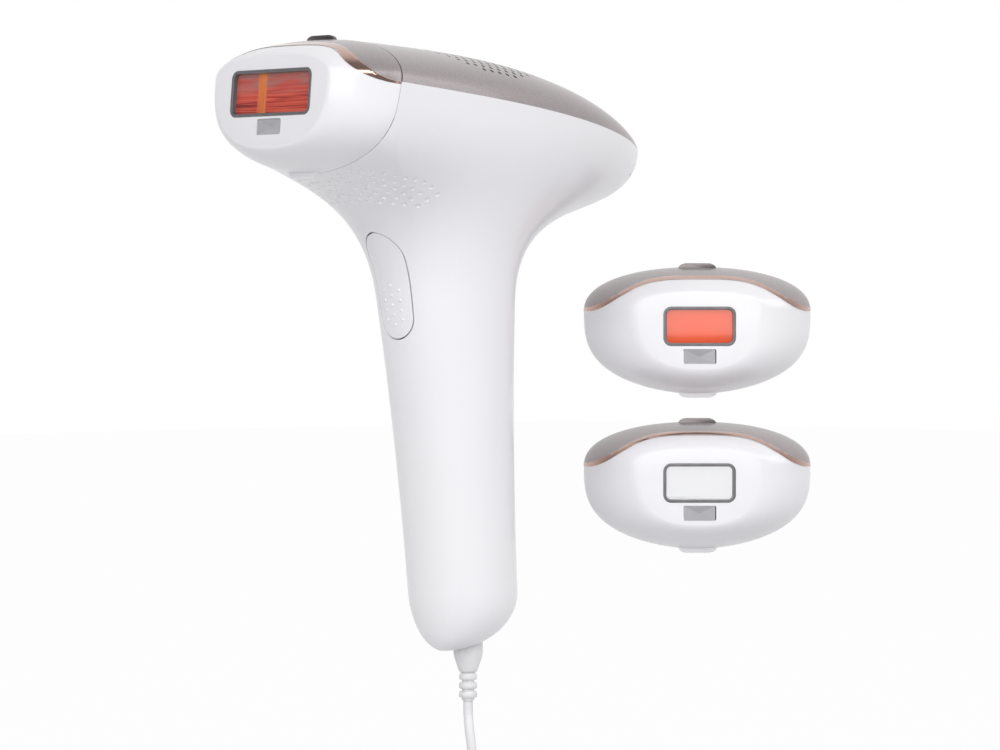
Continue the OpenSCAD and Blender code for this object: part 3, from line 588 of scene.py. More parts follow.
def amber_glass_painted_reflection():
    """The amber filter over the flash lamp, with painted reflections in its colour: the streaks and the
    bright bar of what lies behind it are painted, not lit.
    """
    finish = filter_glass("amber_filter_glass_painted_reflection", (0.9, 0.13, 0.08), 0.4)
    middle = (PLACES["fitted"] @ Vector((0, -NOSE_LEN, BODY_FORM["window_z"]))) * MM
    black, white = (0, 0, 0), (1, 1, 1)

    def streaks(scale, detail, *stops):
        return ramp(finish, noise(finish, scale, detail), *stops)

    def band(axis, start, stop, *stops):
        position = add_node(finish, "TexCoord", {}).outputs["Object"]
        along = add_node(finish, "SeparateXYZ", {"Vector": position}).outputs[axis]
        share = add_node(finish, "MapRange", {"From Min": start, "From Max": stop, "Value": along})
        return ramp(finish, share.outputs["Result"], *stops)

    # painted reflection: orange streaks that stand in for the reflector seen behind the glass
    glow = streaks((35, 0, 1500), 2.0, (0.36, (0.30, 0.012, 0.010)), (0.46, (0.75, 0.075, 0.045)),
                   (0.60, (1.0, 0.15, 0.085)))
    # painted reflection: a paler haze for the glass above the window's middle
    painted_haze = streaks((60, 0, 420), 1.0, (0.40, (0.80, 0.13, 0.10)), (0.56, (0.56, 0.25, 0.22)))
    # painted highlight: a bright orange bar a little to one side of the window's middle
    bar = streaks((900, 0, 60), 1.0, (0.35, (1.0, 0.20, 0.05)), (0.6, (1.0, 0.34, 0.07)))
    # the painted streaks lie below the window's middle, the painted haze above it, and the painted bar over
    # both
    upper = band("Z", middle.z - 0.001, middle.z + 0.003, (0.0, black), (1.0, (0.85, 0.85, 0.85)))
    on_painted_bar = band("X", middle.x - 0.0076, middle.x - 0.0030,
                  (0.0, black), (0.2, white), (0.8, white), (1.0, black))
    feed(finish, principled(finish),
         {"Base Color": blend(finish, on_painted_bar, blend(finish, upper, glow, painted_haze), bar)})
    return finish


WHITE = surface("white_moulding", (0.84, 0.83, 0.85), 0.3, (6, (0.835, 0.825, 0.85), (0.86, 0.852, 0.868)),
                (40, 0.26, 0.36), (900, 0.000004), coat=0.35, coat_roughness=0.12)
PEARL = pearl_lacquer()
COPPER = surface("copper_plating", (0.52, 0.34, 0.285), 0.12, (60, (0.50, 0.325, 0.27), (0.54, 0.355, 0.30)),
                 (300, 0.08, 0.16), metallic=1.0, coat=0.4, coat_roughness=0.03)
GLOSS = surface("dark_gloss", (0.05, 0.042, 0.042), 0.14, (30, (0.050, 0.042, 0.042), (0.060, 0.052, 0.052)),
                (200, 0.10, 0.18), coat=0.8, coat_roughness=0.03)
FRAME = surface("frame_paint", (0.145, 0.145, 0.15), 0.38, (400, (0.135, 0.135, 0.14), (0.16, 0.16, 0.168)),
                relief=(2500, 0.000004), metallic=0.4, coat=0.3, coat_roughness=0.2)
STEEL = satin_metal("bright_steel", (0.62, 0.62, 0.63))
NICKEL = satin_metal("nickel_plate", (0.74, 0.72, 0.68), 0.16)
GOLD = satin_metal("gold_pad", (0.83, 0.62, 0.27), 0.2)
MIRROR = satin_metal("polished_aluminium", (0.86, 0.86, 0.85), 0.08, 300)
STREAKED = streaked_mirror()
DARK = plain_plastic("dark_moulding", (0.06, 0.06, 0.065))
BLACK = plain_plastic("black_moulding", (0.025, 0.025, 0.028), 0.42)
GREY = plain_plastic("grey_moulding", (0.50, 0.50, 0.52), 0.45)
SENSOR = plain_plastic("sensor_moulding", (0.44, 0.44, 0.455), 0.1, 800, 0.000002)
TAB_METAL = satin_metal("tab_plating", (0.17, 0.152, 0.152), 0.3, 500)
CERAMIC = plain_plastic("lamp_ceramic", (0.78, 0.76, 0.70), 0.6, 2600, 0.00002)
SLEEVE = plain_plastic("capacitor_sleeve", (0.03, 0.04, 0.12), 0.3)
RUBBER = plain_plastic("white_vinyl", (0.80, 0.80, 0.81), 0.42, 2200, 0.000008)
CLOTH_TIE = plain_plastic("tie_strap", (0.03, 0.03, 0.033), 0.85, 3500, 0.00006)
COIL = plain_plastic("coil_lacquer", (0.33, 0.07, 0.03), 0.3)
AMBER = filter_glass("amber_filter_glass", (1.0, 0.12, 0.03), 0.45)
CLEAR = filter_glass("clear_filter_glass", (0.93, 0.93, 0.95), 0.9)
QUARTZ = filter_glass("quartz", (0.97, 0.98, 1.0), 1.0)
GREEN = surface("circuit_green", (0.03, 0.19, 0.09), 0.35,
                (500, (0.02, 0.15, 0.07), (0.05, 0.24, 0.12), 0.45, 0.55), relief=(1200, 0.00002), coat=0.4)
GUIDE = surface("milky_guide", (0.80, 0.80, 0.77), 0.25, (900, (0.77, 0.77, 0.74), (0.82, 0.82, 0.80)),
                clearness=0.3)


def finish_with(piece, material):
    piece.data.materials.clear()
    piece.data.materials.append(material)
    return piece


def place(piece, body, slot, material, *replaced):
    """Gives a piece its finish, its body and the nodes that it stands for."""
    finish_with(piece, material)
    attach(piece, body)
    if replaced:
        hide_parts(*replaced)
    return piece


# ------------------------------ housing

PANEL_HALF = 9.5
PANEL_FRONT = 89.0
PANEL_LOW = -12.5
PANEL_T = 2.0
GAP = 0.15
PANEL_FRAME = HEAD @ Matrix.Rotation(radians(90), 4, "X")   # local z is minus the way along the head

BUTTON_TOP, BUTTON_LOW = 73.5, 42.0
BUTTON_R, BUTTON_TIP_R = 7.5, 6.8
BUTTON_GAP = 0.4
PLUG_Y = 5.0
PLUG_HOLE_R = 4.9
FOOT_FRAME = Matrix.Rotation(radians(90), 4, "X")           # local y is upwards, local z is minus y


def panel_outline(grow=0.0):
    """Outline of the control panel in its frame: a half circle at the front, straight to the rear."""
    r = PANEL_HALF + grow
    centre = -(PANEL_FRONT + PANEL_HALF)
    return arc(r, 0, 180, 20, 0, centre) + [(-r, centre - 60), (r, centre - 60)]


def button_outline(grow=0.0):
    """Outline of the flash button from the front: two circles and their tangents."""
    high, low = BUTTON_TOP - BUTTON_R, BUTTON_LOW + BUTTON_TIP_R
    lean = degrees(asin((BUTTON_R - BUTTON_TIP_R) / (high - low)))
    return (arc(BUTTON_R + grow, -lean, 180 + lean, 24, 0, high)
            + arc(BUTTON_TIP_R + grow, 180 + lean, 360 - lean, 24, 0, low))


DIMPLE_ROWS = 8
DIMPLE_MIDDLE_Y = -38.0         # the rows bend round this place
DIMPLE_FIRST_R, DIMPLE_ROW_STEP = 24.6, 2.75
DIMPLE_PITCH, DIMPLE_PITCH_LOSS = 3.45, 0.13
DIMPLE_REACH = 112.0            # bearing of the first row's ends, in degrees
DIMPLE_R, DIMPLE_R_GAIN = 0.76, 0.12


def dimple_places(shell):
    """Where the dimples of the neck lie: half rings about the handle, wider towards the head."""
    skin = skin_of(shell)
    places = []
    for row in range(DIMPLE_ROWS):
        r = DIMPLE_FIRST_R - DIMPLE_ROW_STEP * row
        step = degrees((DIMPLE_PITCH - DIMPLE_PITCH_LOSS * row) / r)
        first = max(0, 4 - row) * 9.4
        last = DIMPLE_REACH * (1 - (row / 8.6) ** 2)
        for i in range(int((last - first) / step) + 1):
            bearing = first + i * step
            x, y = r * sin(radians(bearing)), DIMPLE_MIDDLE_Y - r * cos(radians(bearing))
            for side in (-1, 1) if bearing > 0 else (1,):
                below = Vector((side * x, y, 70))
                at, normal, _, _ = skin.ray_cast(below * MM, UP)
                if at and normal.z < 0:
                    places.append((at / MM, normal, DIMPLE_R + DIMPLE_R_GAIN * bearing / DIMPLE_REACH))
    return places


def make_handset_shell():
    shell = face_out(flare_sheet("handset_shell"), -UP)
    cut_mouth(shell)
    dimples = dimple_places(shell)
    pierce(shell, panel_outline(GAP), PANEL_FRAME, PANEL_LOW - GAP, 40)
    pierce(shell, button_outline(BUTTON_GAP), UPRIGHT, -80, AXIS_TOP_Y)
    pierce(shell, arc(PLUG_HOLE_R, 0, 360, 48, 0, -PLUG_Y), FOOT_FRAME, -80, -45)
    thicken(shell, WALL)
    balls = [ball("ball", at + (0.55 * r) * normal, 1.14 * r, 14, 8) for at, normal, r in dimples]
    cut(shell, join("dimple_balls", balls))
    smooth(shell)
    place(shell, "handset", "white_shell", WHITE, "body_shell")


VENT_R = 0.62
VENT_PITCH = 3.2
VENT_FRONT, VENT_BROAD, VENT_REAR = 16.0, 55.0, 82.0    # where the leaf of vents begins, is broadest and ends
VENT_HALF = 31.4
VENT_SPREAD, VENT_TURN, VENT_BOW = 38.0, 4.8, 0.012     # places across a row, and how it bends back


def vent_places():
    """Centres of the cooling vents, across and along the head: bowed rows that together form a leaf."""
    places = []
    for row in range(int((VENT_REAR - VENT_FRONT) / VENT_PITCH) + 1):
        d = VENT_FRONT + row * VENT_PITCH
        if d < VENT_BROAD:
            share = 1 - ((VENT_BROAD - d) / (VENT_BROAD - VENT_FRONT)) ** 1.9
        else:
            share = 1 - ((d - VENT_BROAD) / (VENT_REAR - VENT_BROAD)) ** 4
        for k in range(-12, 13):
            across = VENT_SPREAD * sin(radians(VENT_TURN * k))
            if abs(across) <= VENT_HALF * share:
                places.append((across, d - VENT_BOW * across ** 2))
    return places


def paint_bore_shade(cover, places):
    """The walls of the vents get painted shade: the attribute tells the lacquer where to turn them near
    black.
    """
    tree = kdtree.KDTree(len(places))
    for i, (across, d) in enumerate(places):
        tree.insert((across, d, 0), i)
    tree.balance()
    to_head = HEAD.inverted()
    bore = cover.data.attributes.new("bore", "FLOAT", "FACE")
    for face in cover.data.polygons:
        centre = to_head @ (face.center / MM)
        gap = tree.find((centre.x, centre.y, 0))[2]
        normal = to_head.to_3x3() @ face.normal
        bore.data[face.index].value = 1.0 if gap < VENT_R and abs(normal.z) < 0.3 else 0.0


def make_crown_cover():
    cover = crown_sheet("crown_cover")
    cut_mouth(cover, 0.3)
    pierce(cover, panel_outline(GAP), PANEL_FRAME, -20, 40)
    thicken(cover, WALL)
    places = vent_places()
    drills = [cylinder("drill", VENT_R, HEAD @ Vector((x, d, 1)), HEAD @ Vector((x, d, 30)), 12)
              for x, d in places]
    cut(cover, join("drills", drills))
    smooth(cover)
    paint_bore_shade(cover, places)
    place(cover, "handset", "pearl_cover", PEARL, "top_cover")


make_handset_shell()
make_crown_cover()


def on_crown(d):
    """Frame on the middle of the crown, with its z axis square to the surface."""
    fall = atan2(ridge_z(d - 1) - ridge_z(d + 1), 2)
    return HEAD @ Matrix.Translation((0, d, ridge_z(d))) @ Matrix.Rotation(-fall, 4, "X")


POWER_D = HEAD_LEN - 39
POWER = on_crown(POWER_D)
LEVEL = on_crown(HEAD_LEN - 29)
LIGHTS = on_crown(HEAD_LEN - 20.5)
POWER_R, LEVEL_R, LIGHT_R, LIGHT_PITCH, CONTROL_GAP = 3.8, 3.0, 0.8, 3.0, 0.2
BOARD_FALL = radians(22.0)
BOARD_DEPTH = 9.0


def panel_sheet(name):
    """The crown and the rear tip within the panel's outline, as one open sheet."""
    top = crown_sheet(name)
    tip = face_out(flare_sheet("panel_tip", foot=False), -UP)
    clip(tip, HEAD @ Vector((0, 0, PANEL_LOW)), DOWN)
    for sheet in (top, tip):
        clip_to_outline(sheet, panel_outline(), PANEL_FRAME)
    return weld(join(name, [top, tip]), 0.00002)


def disc_button(name, basis, radius, dish):
    """A round push button whose crown is dished (dish > 0) or domed (dish < 0)."""
    edge, top, low = 0.35, 0.45, -3.4
    profile = [(0, low), (radius, low), (radius, top - edge), (radius - 0.1, top - 0.4 * edge),
               (radius - edge, top)]
    profile += [((radius - edge) * i / 8, top - dish * (1 - (i / 8) ** 2)) for i in range(7, -1, -1)]
    piece = lathe(name, profile, basis.translation, basis.to_3x3() @ UP, 64)
    return smooth(piece)


def make_panel():
    panel = panel_sheet("panel_skin")
    thicken(panel, PANEL_T)
    holes = [(POWER, POWER_R, 0), (LEVEL, LEVEL_R, 0)]
    holes += [(LIGHTS, LIGHT_R - 0.15, k * LIGHT_PITCH) for k in range(-2, 3)]
    for at, r, x in holes:
        cut(panel, cylinder("drill", r + CONTROL_GAP, at @ Vector((x, 0, -9)), at @ Vector((x, 0, 9)),
                            48 if x == 0 else 20))
    soften(panel, 0.18, 1)
    smooth(panel)
    board = (HEAD @ Matrix.Translation((0, POWER_D - 6, ridge_z(POWER_D) - BOARD_DEPTH))
             @ Matrix.Rotation(-BOARD_FALL, 4, "X"))
    posts = [cylinder("post", 1.4, board @ Vector((x, y, 1.6)), board @ Vector((x, y, 7.0)), 16)
             for x in (-6.1, 6.1) for y in (2.5, 18.5)]
    join("panel_skin", [panel] + posts)
    place(panel, "handset", "dark_gloss", GLOSS, "control_panel")
    for control, at, r, dish in (("power", POWER, POWER_R, 0.35), ("level", LEVEL, LEVEL_R, -0.2)):
        button = control + "_button"
        place(disc_button(control + "_cap", at, r, dish), button, "pearl_cover", PEARL, button)
    rod = [(0, -3.2), (LIGHT_R - 0.2, -3.2), (LIGHT_R - 0.2, 0.0), (LIGHT_R - 0.35, 0.12), (0, 0.2)]
    upwards = LIGHTS.to_3x3() @ UP
    lamps = [lathe("lamp", rod, LIGHTS @ Vector((k * LIGHT_PITCH, 0, -0.22 * abs(k))), upwards, 20)
             for k in range(-2, 3)]
    lights = smooth(join("level_lamps", lamps))
    place(lights, "handset", "light_guide", GUIDE, "level_lights")


make_panel()

# ------------------------------ flash button

PIN = Vector((0, -20.45, 61.5))
EAR_X, EAR_T, EAR_R = 5.0, 2.0, 2.8
KNOB_DOWN, KNOB_PITCH, KNOB_R = 15.6, 2.93, 0.62


def make_flash_button():
    cap = face_out(flare_sheet("flash_cap"), -UP)
    clip(cap, (0, AXIS_TOP_Y - 8, 0), (0, 1, 0))
    clip_to_outline(cap, button_outline(), UPRIGHT)
    skin = skin_of(cap)
    thicken(cap, WALL)
    soften(cap, 0.5, 3)
    knobs = []
    for column, x in ((0, 0.0), (1, -3.25), (1, 3.25)):
        for i in range(5 - column):
            z = BUTTON_TOP - KNOB_DOWN - KNOB_PITCH * (i + 0.5 * column)
            at, normal, _, _ = skin.ray_cast(Vector((x, -60, z)) * MM, Vector((0, 1, 0)))
            knobs.append(ball("knob", at / MM - 0.28 * normal, KNOB_R, 16, 10))
    ears = []
    for side in (-1, 1):
        inner, outer = (Vector((side * EAR_X + half, 0, 0)) for half in (-EAR_T / 2, EAR_T / 2))
        ear = cylinder("ear", EAR_R, PIN + inner, PIN + outer, 40)
        arm = block("arm", PIN + inner - Vector((0, 5.2, EAR_R)), PIN + outer + Vector((0, 0, EAR_R)))
        bore = cylinder("bore", 1.25, PIN - Vector((12, 0, 0)), PIN + Vector((12, 0, 0)), 40)
        ears.append(cut(cut(ear, arm, "UNION"), bore))
    rib = block("rib", (-1, -24.2, BUTTON_LOW + 2), (1, -13.9, BUTTON_LOW + 4.5))
    join("flash_cap", [cap] + knobs + ears + [rib])
    smooth(cap)
    place(cap, "flash_button", "white_shell", WHITE, "flash_button")


make_flash_button()

# ------------------------------ attachments

NOSE_LEN = 16.5
MOUTH_TOP, MOUTH_LOW = 13.8, 26.5
RIM_FORM_UP, RIM_FORM_LOW, FACE_FORM = (2.2, 1 / 2.2), (3.09, 0.556), (2.6, 1 / 2.6)
RIM_GAP = 0.25
HOOD_T = 1.1
TRIM_W = 1.1
TAB_W, TAB_LEN, TAB_RISE = 12.0, 1.8, 1.2
FRAME_T, FRAME_R, FRAME_DEPTH = 1.0, 2.5, 5.0
SENSOR_W, SENSOR_H = 10.6, 4.7

BODY_FORM = {"face": (24.2, 6.6, 20.3), "window": (35.4, 13.9), "window_z": -4.2, "sensor_z": -14.2,
             "trim": (1.45, 0.5), "arch": (10.3, 36.75, 2.3, 0.8)}
SMALL_FORM = {"face": (19.0, 5.6, 18.2), "window": (22.8, 12.4), "window_z": -5.0, "sensor_z": -14.5,
              "trim": (0.6, 0.0), "arch": (9.9, 34.75, 1.9, 0.2)}
SPARE_TURN = Matrix.Rotation(radians(46), 4, "Z")
PLACES = {"fitted": HEAD, "amber": Matrix.Translation((10, 96, 50.5)) @ SPARE_TURN,
          "clear": Matrix.Translation((10, 96, 1.3)) @ SPARE_TURN}


def oval_point(a, half_w, top, low, up_form, low_form):
    """Point of an outline at a degrees from the right; half its width at the share s of its height
    is half_w (1 - s^m)^k for the form (m, k)."""
    rise, run = sin(radians(a)), cos(radians(a))
    share = taper(abs(rise), up_form if rise > 0 else low_form)
    return (copysign(half_w * share, run), rise * (top if rise > 0 else low))


def rim_y(z):
    return MOUTH_BACK - RIM_GAP + tan(radians(MOUTH_TILT)) * z


def nose_solid(name, form, inset=0.0, back=0.0, around=144, rings=30):
    """The attachment's outer form, set in by inset; back carries it on past its rim."""
    half_w, top, low = form["face"]
    loops = []
    for k in range(rings + 1):
        a = radians(90 - 90 * k / rings)
        depth, share = power(sin(a), 1.45), power(cos(a), 1.28)
        loop = []
        for i in range(around):
            rim = oval_point(90 - 360 * i / around, HALF_W - inset, MOUTH_TOP - inset, MOUTH_LOW - inset,
                             RIM_FORM_UP, RIM_FORM_LOW)
            face = oval_point(90 - 360 * i / around, half_w - inset, top - 0.8 * inset, low - inset,
                              FACE_FORM, FACE_FORM)
            x, z = (f + (r - f) * share for f, r in zip(face, rim))
            loop.append(Vector((x, -(NOSE_LEN - inset) * depth + (1 - depth) * rim_y(z), z)))
        loops.append(loop)
    if back:
        loops.append([p + Vector((0, back, 0)) for p in loops[-1]])
    faces = ring_faces(len(loops), around, True)
    faces += [list(range(around)), list(range((len(loops) - 1) * around, len(loops) * around))]
    return new_mesh(name, [p for loop in loops for p in loop], faces)


def trim_z(x, form):
    """Height of the trim's lower edge across the attachment."""
    height, foot, bend, drop = form["arch"]
    return (height + drop) * cos(radians(90 * min(1, power(abs(x) / foot, bend)))) ** 2 - drop


def trim_width(x, form):
    s = min(1, abs(x) / HALF_W)
    spread, loss = form["trim"]
    return TRIM_W * (1 - loss * s ** 4) + spread * sin(radians(180 * power(s, 4.27))) ** 2


def above_trim(name, form, up=0.0, top=30.0):
    """What lies above the trim's lower edge (up = 0) or its upper edge (up = 1)."""
    edge = [(x, trim_z(x, form) + up * trim_width(x, form)) for x in range(-38, 39)]
    return prism(name, edge + [(38, top), (-38, top)], -NOSE_LEN - 5, 8)


def tab(name, z):
    """A release tab at the rim, with its outer edges rounded."""
    side = copysign(1, z)
    outline = [(-TAB_W / 2, z - 2 * side), (TAB_W / 2, z - 2 * side), (TAB_W / 2, z - 0.6 * side)]
    outline += [(TAB_W / 2 - 2.2 + 2.2 * cos(radians(90 * i / 6)) - 0.5 * i / 6,
                 z + side * (TAB_RISE - 1.5 + 1.5 * sin(radians(90 * i / 6)))) for i in range(7)]
    outline += [(-x, h) for x, h in reversed(outline[3:])] + [(-TAB_W / 2, z - 0.6 * side)]
    return prism(name, outline, rim_y(z) - TAB_LEN, rim_y(z) - 0.2)


def window_outline(form, grow=0.0):
    """The clear opening of the window, or with grow its frame's outside."""
    width, height = form["window"]
    trimmed = 2 * (grow - FRAME_T)
    return rounded(width + trimmed, height + trimmed, FRAME_R - FRAME_T + grow, (0, form["window_z"]))


def sensor_outline(form, grow=0.0):
    return rounded(SENSOR_W + 2 * grow, SENSOR_H + 2 * grow, 0.6 + grow, (0, form["sensor_z"]), 4)


def make_nose_shell(form):
    """The white shell: face, flanks and lower release tab."""
    shell = cut(nose_solid("nose_shell", form), nose_solid("hollow", form, WALL, 5))
    foot = cut(tab("foot", -MOUTH_LOW), nose_solid("hollow", form, 0.6, 5))
    cut(shell, foot, "UNION")
    cut(shell, cut(above_trim("step", form), nose_solid("seat", form, HOOD_T, 5)))
    for outline in (window_outline(form, FRAME_T), sensor_outline(form)):
        cut(shell, prism("opening", outline, -NOSE_LEN - 3, -NOSE_LEN + 5))
    soften(shell, 0.15)
    return smooth(shell)


def hollow_out(piece, form, edge):
    """Leaves what lies outside the shell's seat for the hood, with its edges rounded."""
    cut(piece, nose_solid("hollow", form, HOOD_T, 5))
    soften(piece, edge)
    return smooth(piece)


def make_nose_hood(form):
    hood = cut(nose_solid("nose_hood", form), above_trim("region", form, 1), "INTERSECT")
    return hollow_out(hood, form, 0.25)


def make_top_tab(form):
    return hollow_out(tab("top_tab", MOUTH_TOP), form, 0.25)


def make_trim(form):
    trim = cut(nose_solid("nose_trim", form, -0.12), above_trim("region", form), "INTERSECT")
    return hollow_out(cut(trim, above_trim("beyond", form, 1, 31)), form, 0.18)


def make_window_rim(form):
    front = -NOSE_LEN - 0.2
    rim = prism("window_rim", window_outline(form, FRAME_T), front, front + FRAME_DEPTH)
    cut(rim, prism("opening", window_outline(form), front - 2, front + FRAME_DEPTH + 2))
    soften(rim, 0.22, 3)
    return smooth(rim)


def make_sensor_lens(form):
    """A clear block over the skin sensor, with a four-sided pyramid sunk in its face."""
    outline = rounded(SENSOR_W - 0.7, SENSOR_H - 0.1, 0.5, (0, form["sensor_z"]), 4)
    lens = prism("sensor_lens", outline, 0.3 - NOSE_LEN, 2.3 - NOSE_LEN)
    half_w, half_h = SENSOR_W / 2 - 0.6, SENSOR_H / 2 - 0.25
    front, centre = 0.25 - NOSE_LEN, form["sensor_z"]
    corners = [(sx * half_w, front, centre + sz * half_h) for sx, sz in ((-1, -1), (1, -1), (1, 1), (-1, 1))]
    cut(lens, new_mesh("pyramid", corners + [(0, front + 1.3, centre)],
                       [[0, 1, 2, 3], [0, 1, 4], [1, 2, 4], [2, 3, 4], [3, 0, 4]]))
    return smooth(lens, 20)


def make_attachments():
    """The pieces of each kind are made once, in the attachment's own frame, and copied to their places."""
    kinds = {"body": BODY_FORM, "small": SMALL_FORM}
    makers = (("skin", make_nose_shell, "white_shell", WHITE, "shell"),
              ("cap", make_nose_hood, "pearl_cover", PEARL, "hood"),
              ("tab", make_top_tab, "pearl_cover", TAB_METAL, "hood"),
              ("band", make_trim, "copper_trim", COPPER, "trim"),
              ("window_rim", make_window_rim, "window_frame", FRAME, "frame"),
              ("lens", make_sensor_lens, "sensor_glass", SENSOR, "sensor_window"))
    for kind, form in kinds.items():
        for label, make, slot, material, node in makers:
            master = make(form)
            for set_name in (("fitted",) if kind == "body" else ("amber", "clear")):
                piece = twin(master, set_name + "_" + label, in_mm(PLACES[set_name]))
                place(piece, set_name + "_attachment", slot, material, set_name + "_" + node)
            bpy.data.objects.remove(master)


AMBER_PAINTED_REFLECTION = amber_glass_painted_reflection()
make_attachments()

# ------------------------------ lead and adapter

PLUG_TOP, PLUG_LOW = -46.5, -68.0
RIB_DOWN, RIB_PITCH = 13.8, 2.75
LEAD_D = 3.0
HANK_R, HANK_RUN, HANK_ROWS, HANK_TURNS = 9.0, 48.0, 3, 11
HANK_HIGH = -108.5                              # centres of the hank's round ends
HANK_DEEP = HANK_HIGH - HANK_RUN
ADAPTER_Y = PLUG_Y + 4.5
CASE_W, CASE_D, CASE_H, CASE_TOP, SLEEVE_H = 46.0, 30.0, 60.0, -193.0, 10.0

# From the plug to the hank, and from the hank through the adapter's sleeve to its board
LEAD_START = [(0, 5, -68), (0, 5, -70), (0, 5, -72.5), (0.9, 4.5, -76), (3, 3.3, -81), (5.6, 1.8, -86),
              (8.4, 0.8, -91), (11, 0.5, -95.5), (13.2, 0.5, -100), (14.6, 0.5, -104.5)]
LEAD_END = [(11.4, 9.5, -160), (9.4, 9.5, -164.3), (6.7, 9.5, -168.5), (4, 9.5, -172.5), (2, 9.5, -176),
            (0.6, 9.5, -179.5), (0, 9.5, -183), (0, 9.5, -195), (0, 9.5, -208)]


def slot_of(turn):
    """Centre line of a turn of the hank: its distance from the middle and its depth."""
    layer, row = divmod(turn, HANK_ROWS)
    if layer % 2 == 0:
        row = HANK_ROWS - 1 - row
    return HANK_R + row * LEAD_D, PLUG_Y - 4.5 + layer * LEAD_D


def ease(t):
    t = min(1.0, max(0.0, t))
    return t * t * (3 - 2 * t)


def hank_route():
    """The turns of the hank: down on the right, round, up on the left into the next slot, and over."""
    shift_run, lag = 19.0, 4.8
    groups = [0]
    for turn in range(1, HANK_TURNS - 1):
        changes = turn % HANK_ROWS == HANK_ROWS - 1 or turn % HANK_ROWS == 0
        groups.append(groups[-1] + (1 if changes else 0))
    route = []
    for turn in range(HANK_TURNS):
        r, y = slot_of(turn)
        route += [(r, y, HANK_HIGH - HANK_RUN * i / 10) for i in range(11)]
        if turn == HANK_TURNS - 1:
            break
        route += [(x, y, HANK_DEEP - z) for x, z in arc(r, 12, 168, 13)]
        next_r, next_y = slot_of(turn + 1)
        start = HANK_DEEP + lag * (groups[-1] - groups[turn])
        for i in range(17):
            z = HANK_DEEP + HANK_RUN * i / 16
            share = ease((z - start) / shift_run)
            route.append((-r - (next_r - r) * share, y + (next_y - y) * share, z))
        route += [(-x, next_y, HANK_HIGH + z) for x, z in arc(next_r, 12, 168, 13)]
    return route


def curve_piece(name, route, radius):
    """A round lead along a route in millimetres."""
    data = bpy.data.curves.new(name, "CURVE")
    data.dimensions = "3D"
    spline = data.splines.new("POLY")
    spline.points.add(len(route) - 1)
    for point, p in zip(spline.points, route):
        point.co = (*(p * MM), 1)
    data.bevel_depth = radius * MM
    data.bevel_resolution = 4
    data.use_fill_caps = True
    spline.use_smooth = True
    piece = bpy.data.objects.new(name, data)
    scene.collection.objects.link(piece)
    return piece


def make_lead_plug():
    """The low-voltage plug: a bulb, a neck and three ribs that let the lead bend."""
    top = PLUG_TOP
    profile = [(0, top), (4.0, top), (4.35, top - 0.4), (4.5, top - 3.5), (4.5, top - 7.4), (4.2, top - 9.0),
               (3.5, top - 11.1), (2.9, top - 12.8), (2.6, top - 13.3), (1.9, top - 13.6)]
    for k in range(3):
        z = top - RIB_DOWN - RIB_PITCH * k
        profile += [(2.5, z), (2.75, z - 0.3), (2.75, z - 1.6), (2.5, z - 1.9), (1.9, z - 2), (1.9, z - 2.7)]
    profile += [(1.65, PLUG_LOW), (0, PLUG_LOW)]
    plug = lathe("lead_plug", profile, (0, PLUG_Y, 0), UP)
    jack = cylinder("jack", 2.6, (0, PLUG_Y, top - 0.02), (0, PLUG_Y, top + 9.48), 32)
    cut(plug, jack, "UNION")
    smooth(plug)
    return place(plug, "power_lead", "white_rubber", RUBBER, "power_plug")


def make_adapter():
    """The mains adapter's case: a rounded block with a parting line and a sleeve for the lead."""
    def body(name, inset):
        outline = rounded(CASE_W - 2 * inset, CASE_D - 2 * inset, 5 - inset, (0, ADAPTER_Y))
        return prism(name, [(x, -y) for x, y in outline], CASE_TOP - CASE_H + inset, CASE_TOP - inset,
                     FOOT_FRAME)

    case = soften(body("adapter_shell", 0), 1.6, 4)
    y = ADAPTER_Y + CASE_D / 2 - 7
    groove = block("groove", (-CASE_W, y, CASE_TOP - CASE_H - 5), (CASE_W, y + 0.4, CASE_TOP + 5))
    cut(case, cut(groove, body("core", 0.4)))
    sleeve = lathe("sleeve", [(0, -1), (3.6, -1), (3.6, 0.3), (3.3, 1.0)]
                   + [(3.2 - 0.09 * i, 1.2 + 0.8 * i) for i in range(10)] + [(2.2, SLEEVE_H), (0, SLEEVE_H)],
                   (0, ADAPTER_Y, CASE_TOP), UP, 40)
    cut(case, sleeve, "UNION")
    smooth(case)
    return place(case, "power_lead", "white_shell", WHITE, "adapter_case")


lead_plug = make_lead_plug()
adapter_shell = make_adapter()
ROUTE = [Vector(p) for p in LEAD_START + hank_route() + LEAD_END]
lead = place(curve_piece("lead", ROUTE, LEAD_D / 2), "power_lead", "white_rubber", RUBBER,
             "cord", "cord_hank", "cord_end")

# ------------------------------ stage and light

def mix_shaders(owner, factor, first, second, output):
    mix = add_node(owner, "MixShader", {"Fac": factor, 1: first, 2: second})
    feed(owner, owner.node_tree.nodes[output], {"Surface": mix.outputs["Shader"]})


def calculate(owner, operation, first, second):
    return add_node(owner, "Math", {0: first, 1: second}, operation).outputs["Value"]


def white_seen(owner, mirrored):
    """1 for the rays of the camera and for those through glass, mirrored for those off a gloss, else 0."""
    path = add_node(owner, "LightPath", {})
    seen = calculate(owner, "MULTIPLY", path.outputs["Is Glossy Ray"], mirrored)
    for kind in ("Is Camera Ray", "Is Transmission Ray"):
        seen = calculate(owner, "MAXIMUM", seen, path.outputs[kind])
    return seen


def stage_material(name, colour, glow):
    """A matt surface that the camera, metal and glass see mostly as white light, so that it comes out
    white but keeps a soft shadow."""
    finish = surface(name, colour, 0.9)
    light = add_node(finish, "Emission", {"Color": (1, 1, 1, 1), "Strength": 1.0})
    share = calculate(finish, "MULTIPLY", white_seen(finish, 1.0), glow)
    matt = principled(finish).outputs["BSDF"]
    mix_shaders(finish, share, matt, light.outputs["Emission"], "Material Output")
    return finish


def make_floor():
    bpy.ops.mesh.primitive_plane_add(size=16, location=(0, 0, cad_low[2] - 0.002))
    floor = last_added("floor")
    finish_with(floor, stage_material("pale_floor", (0.62, 0.62, 0.63), 0.975))


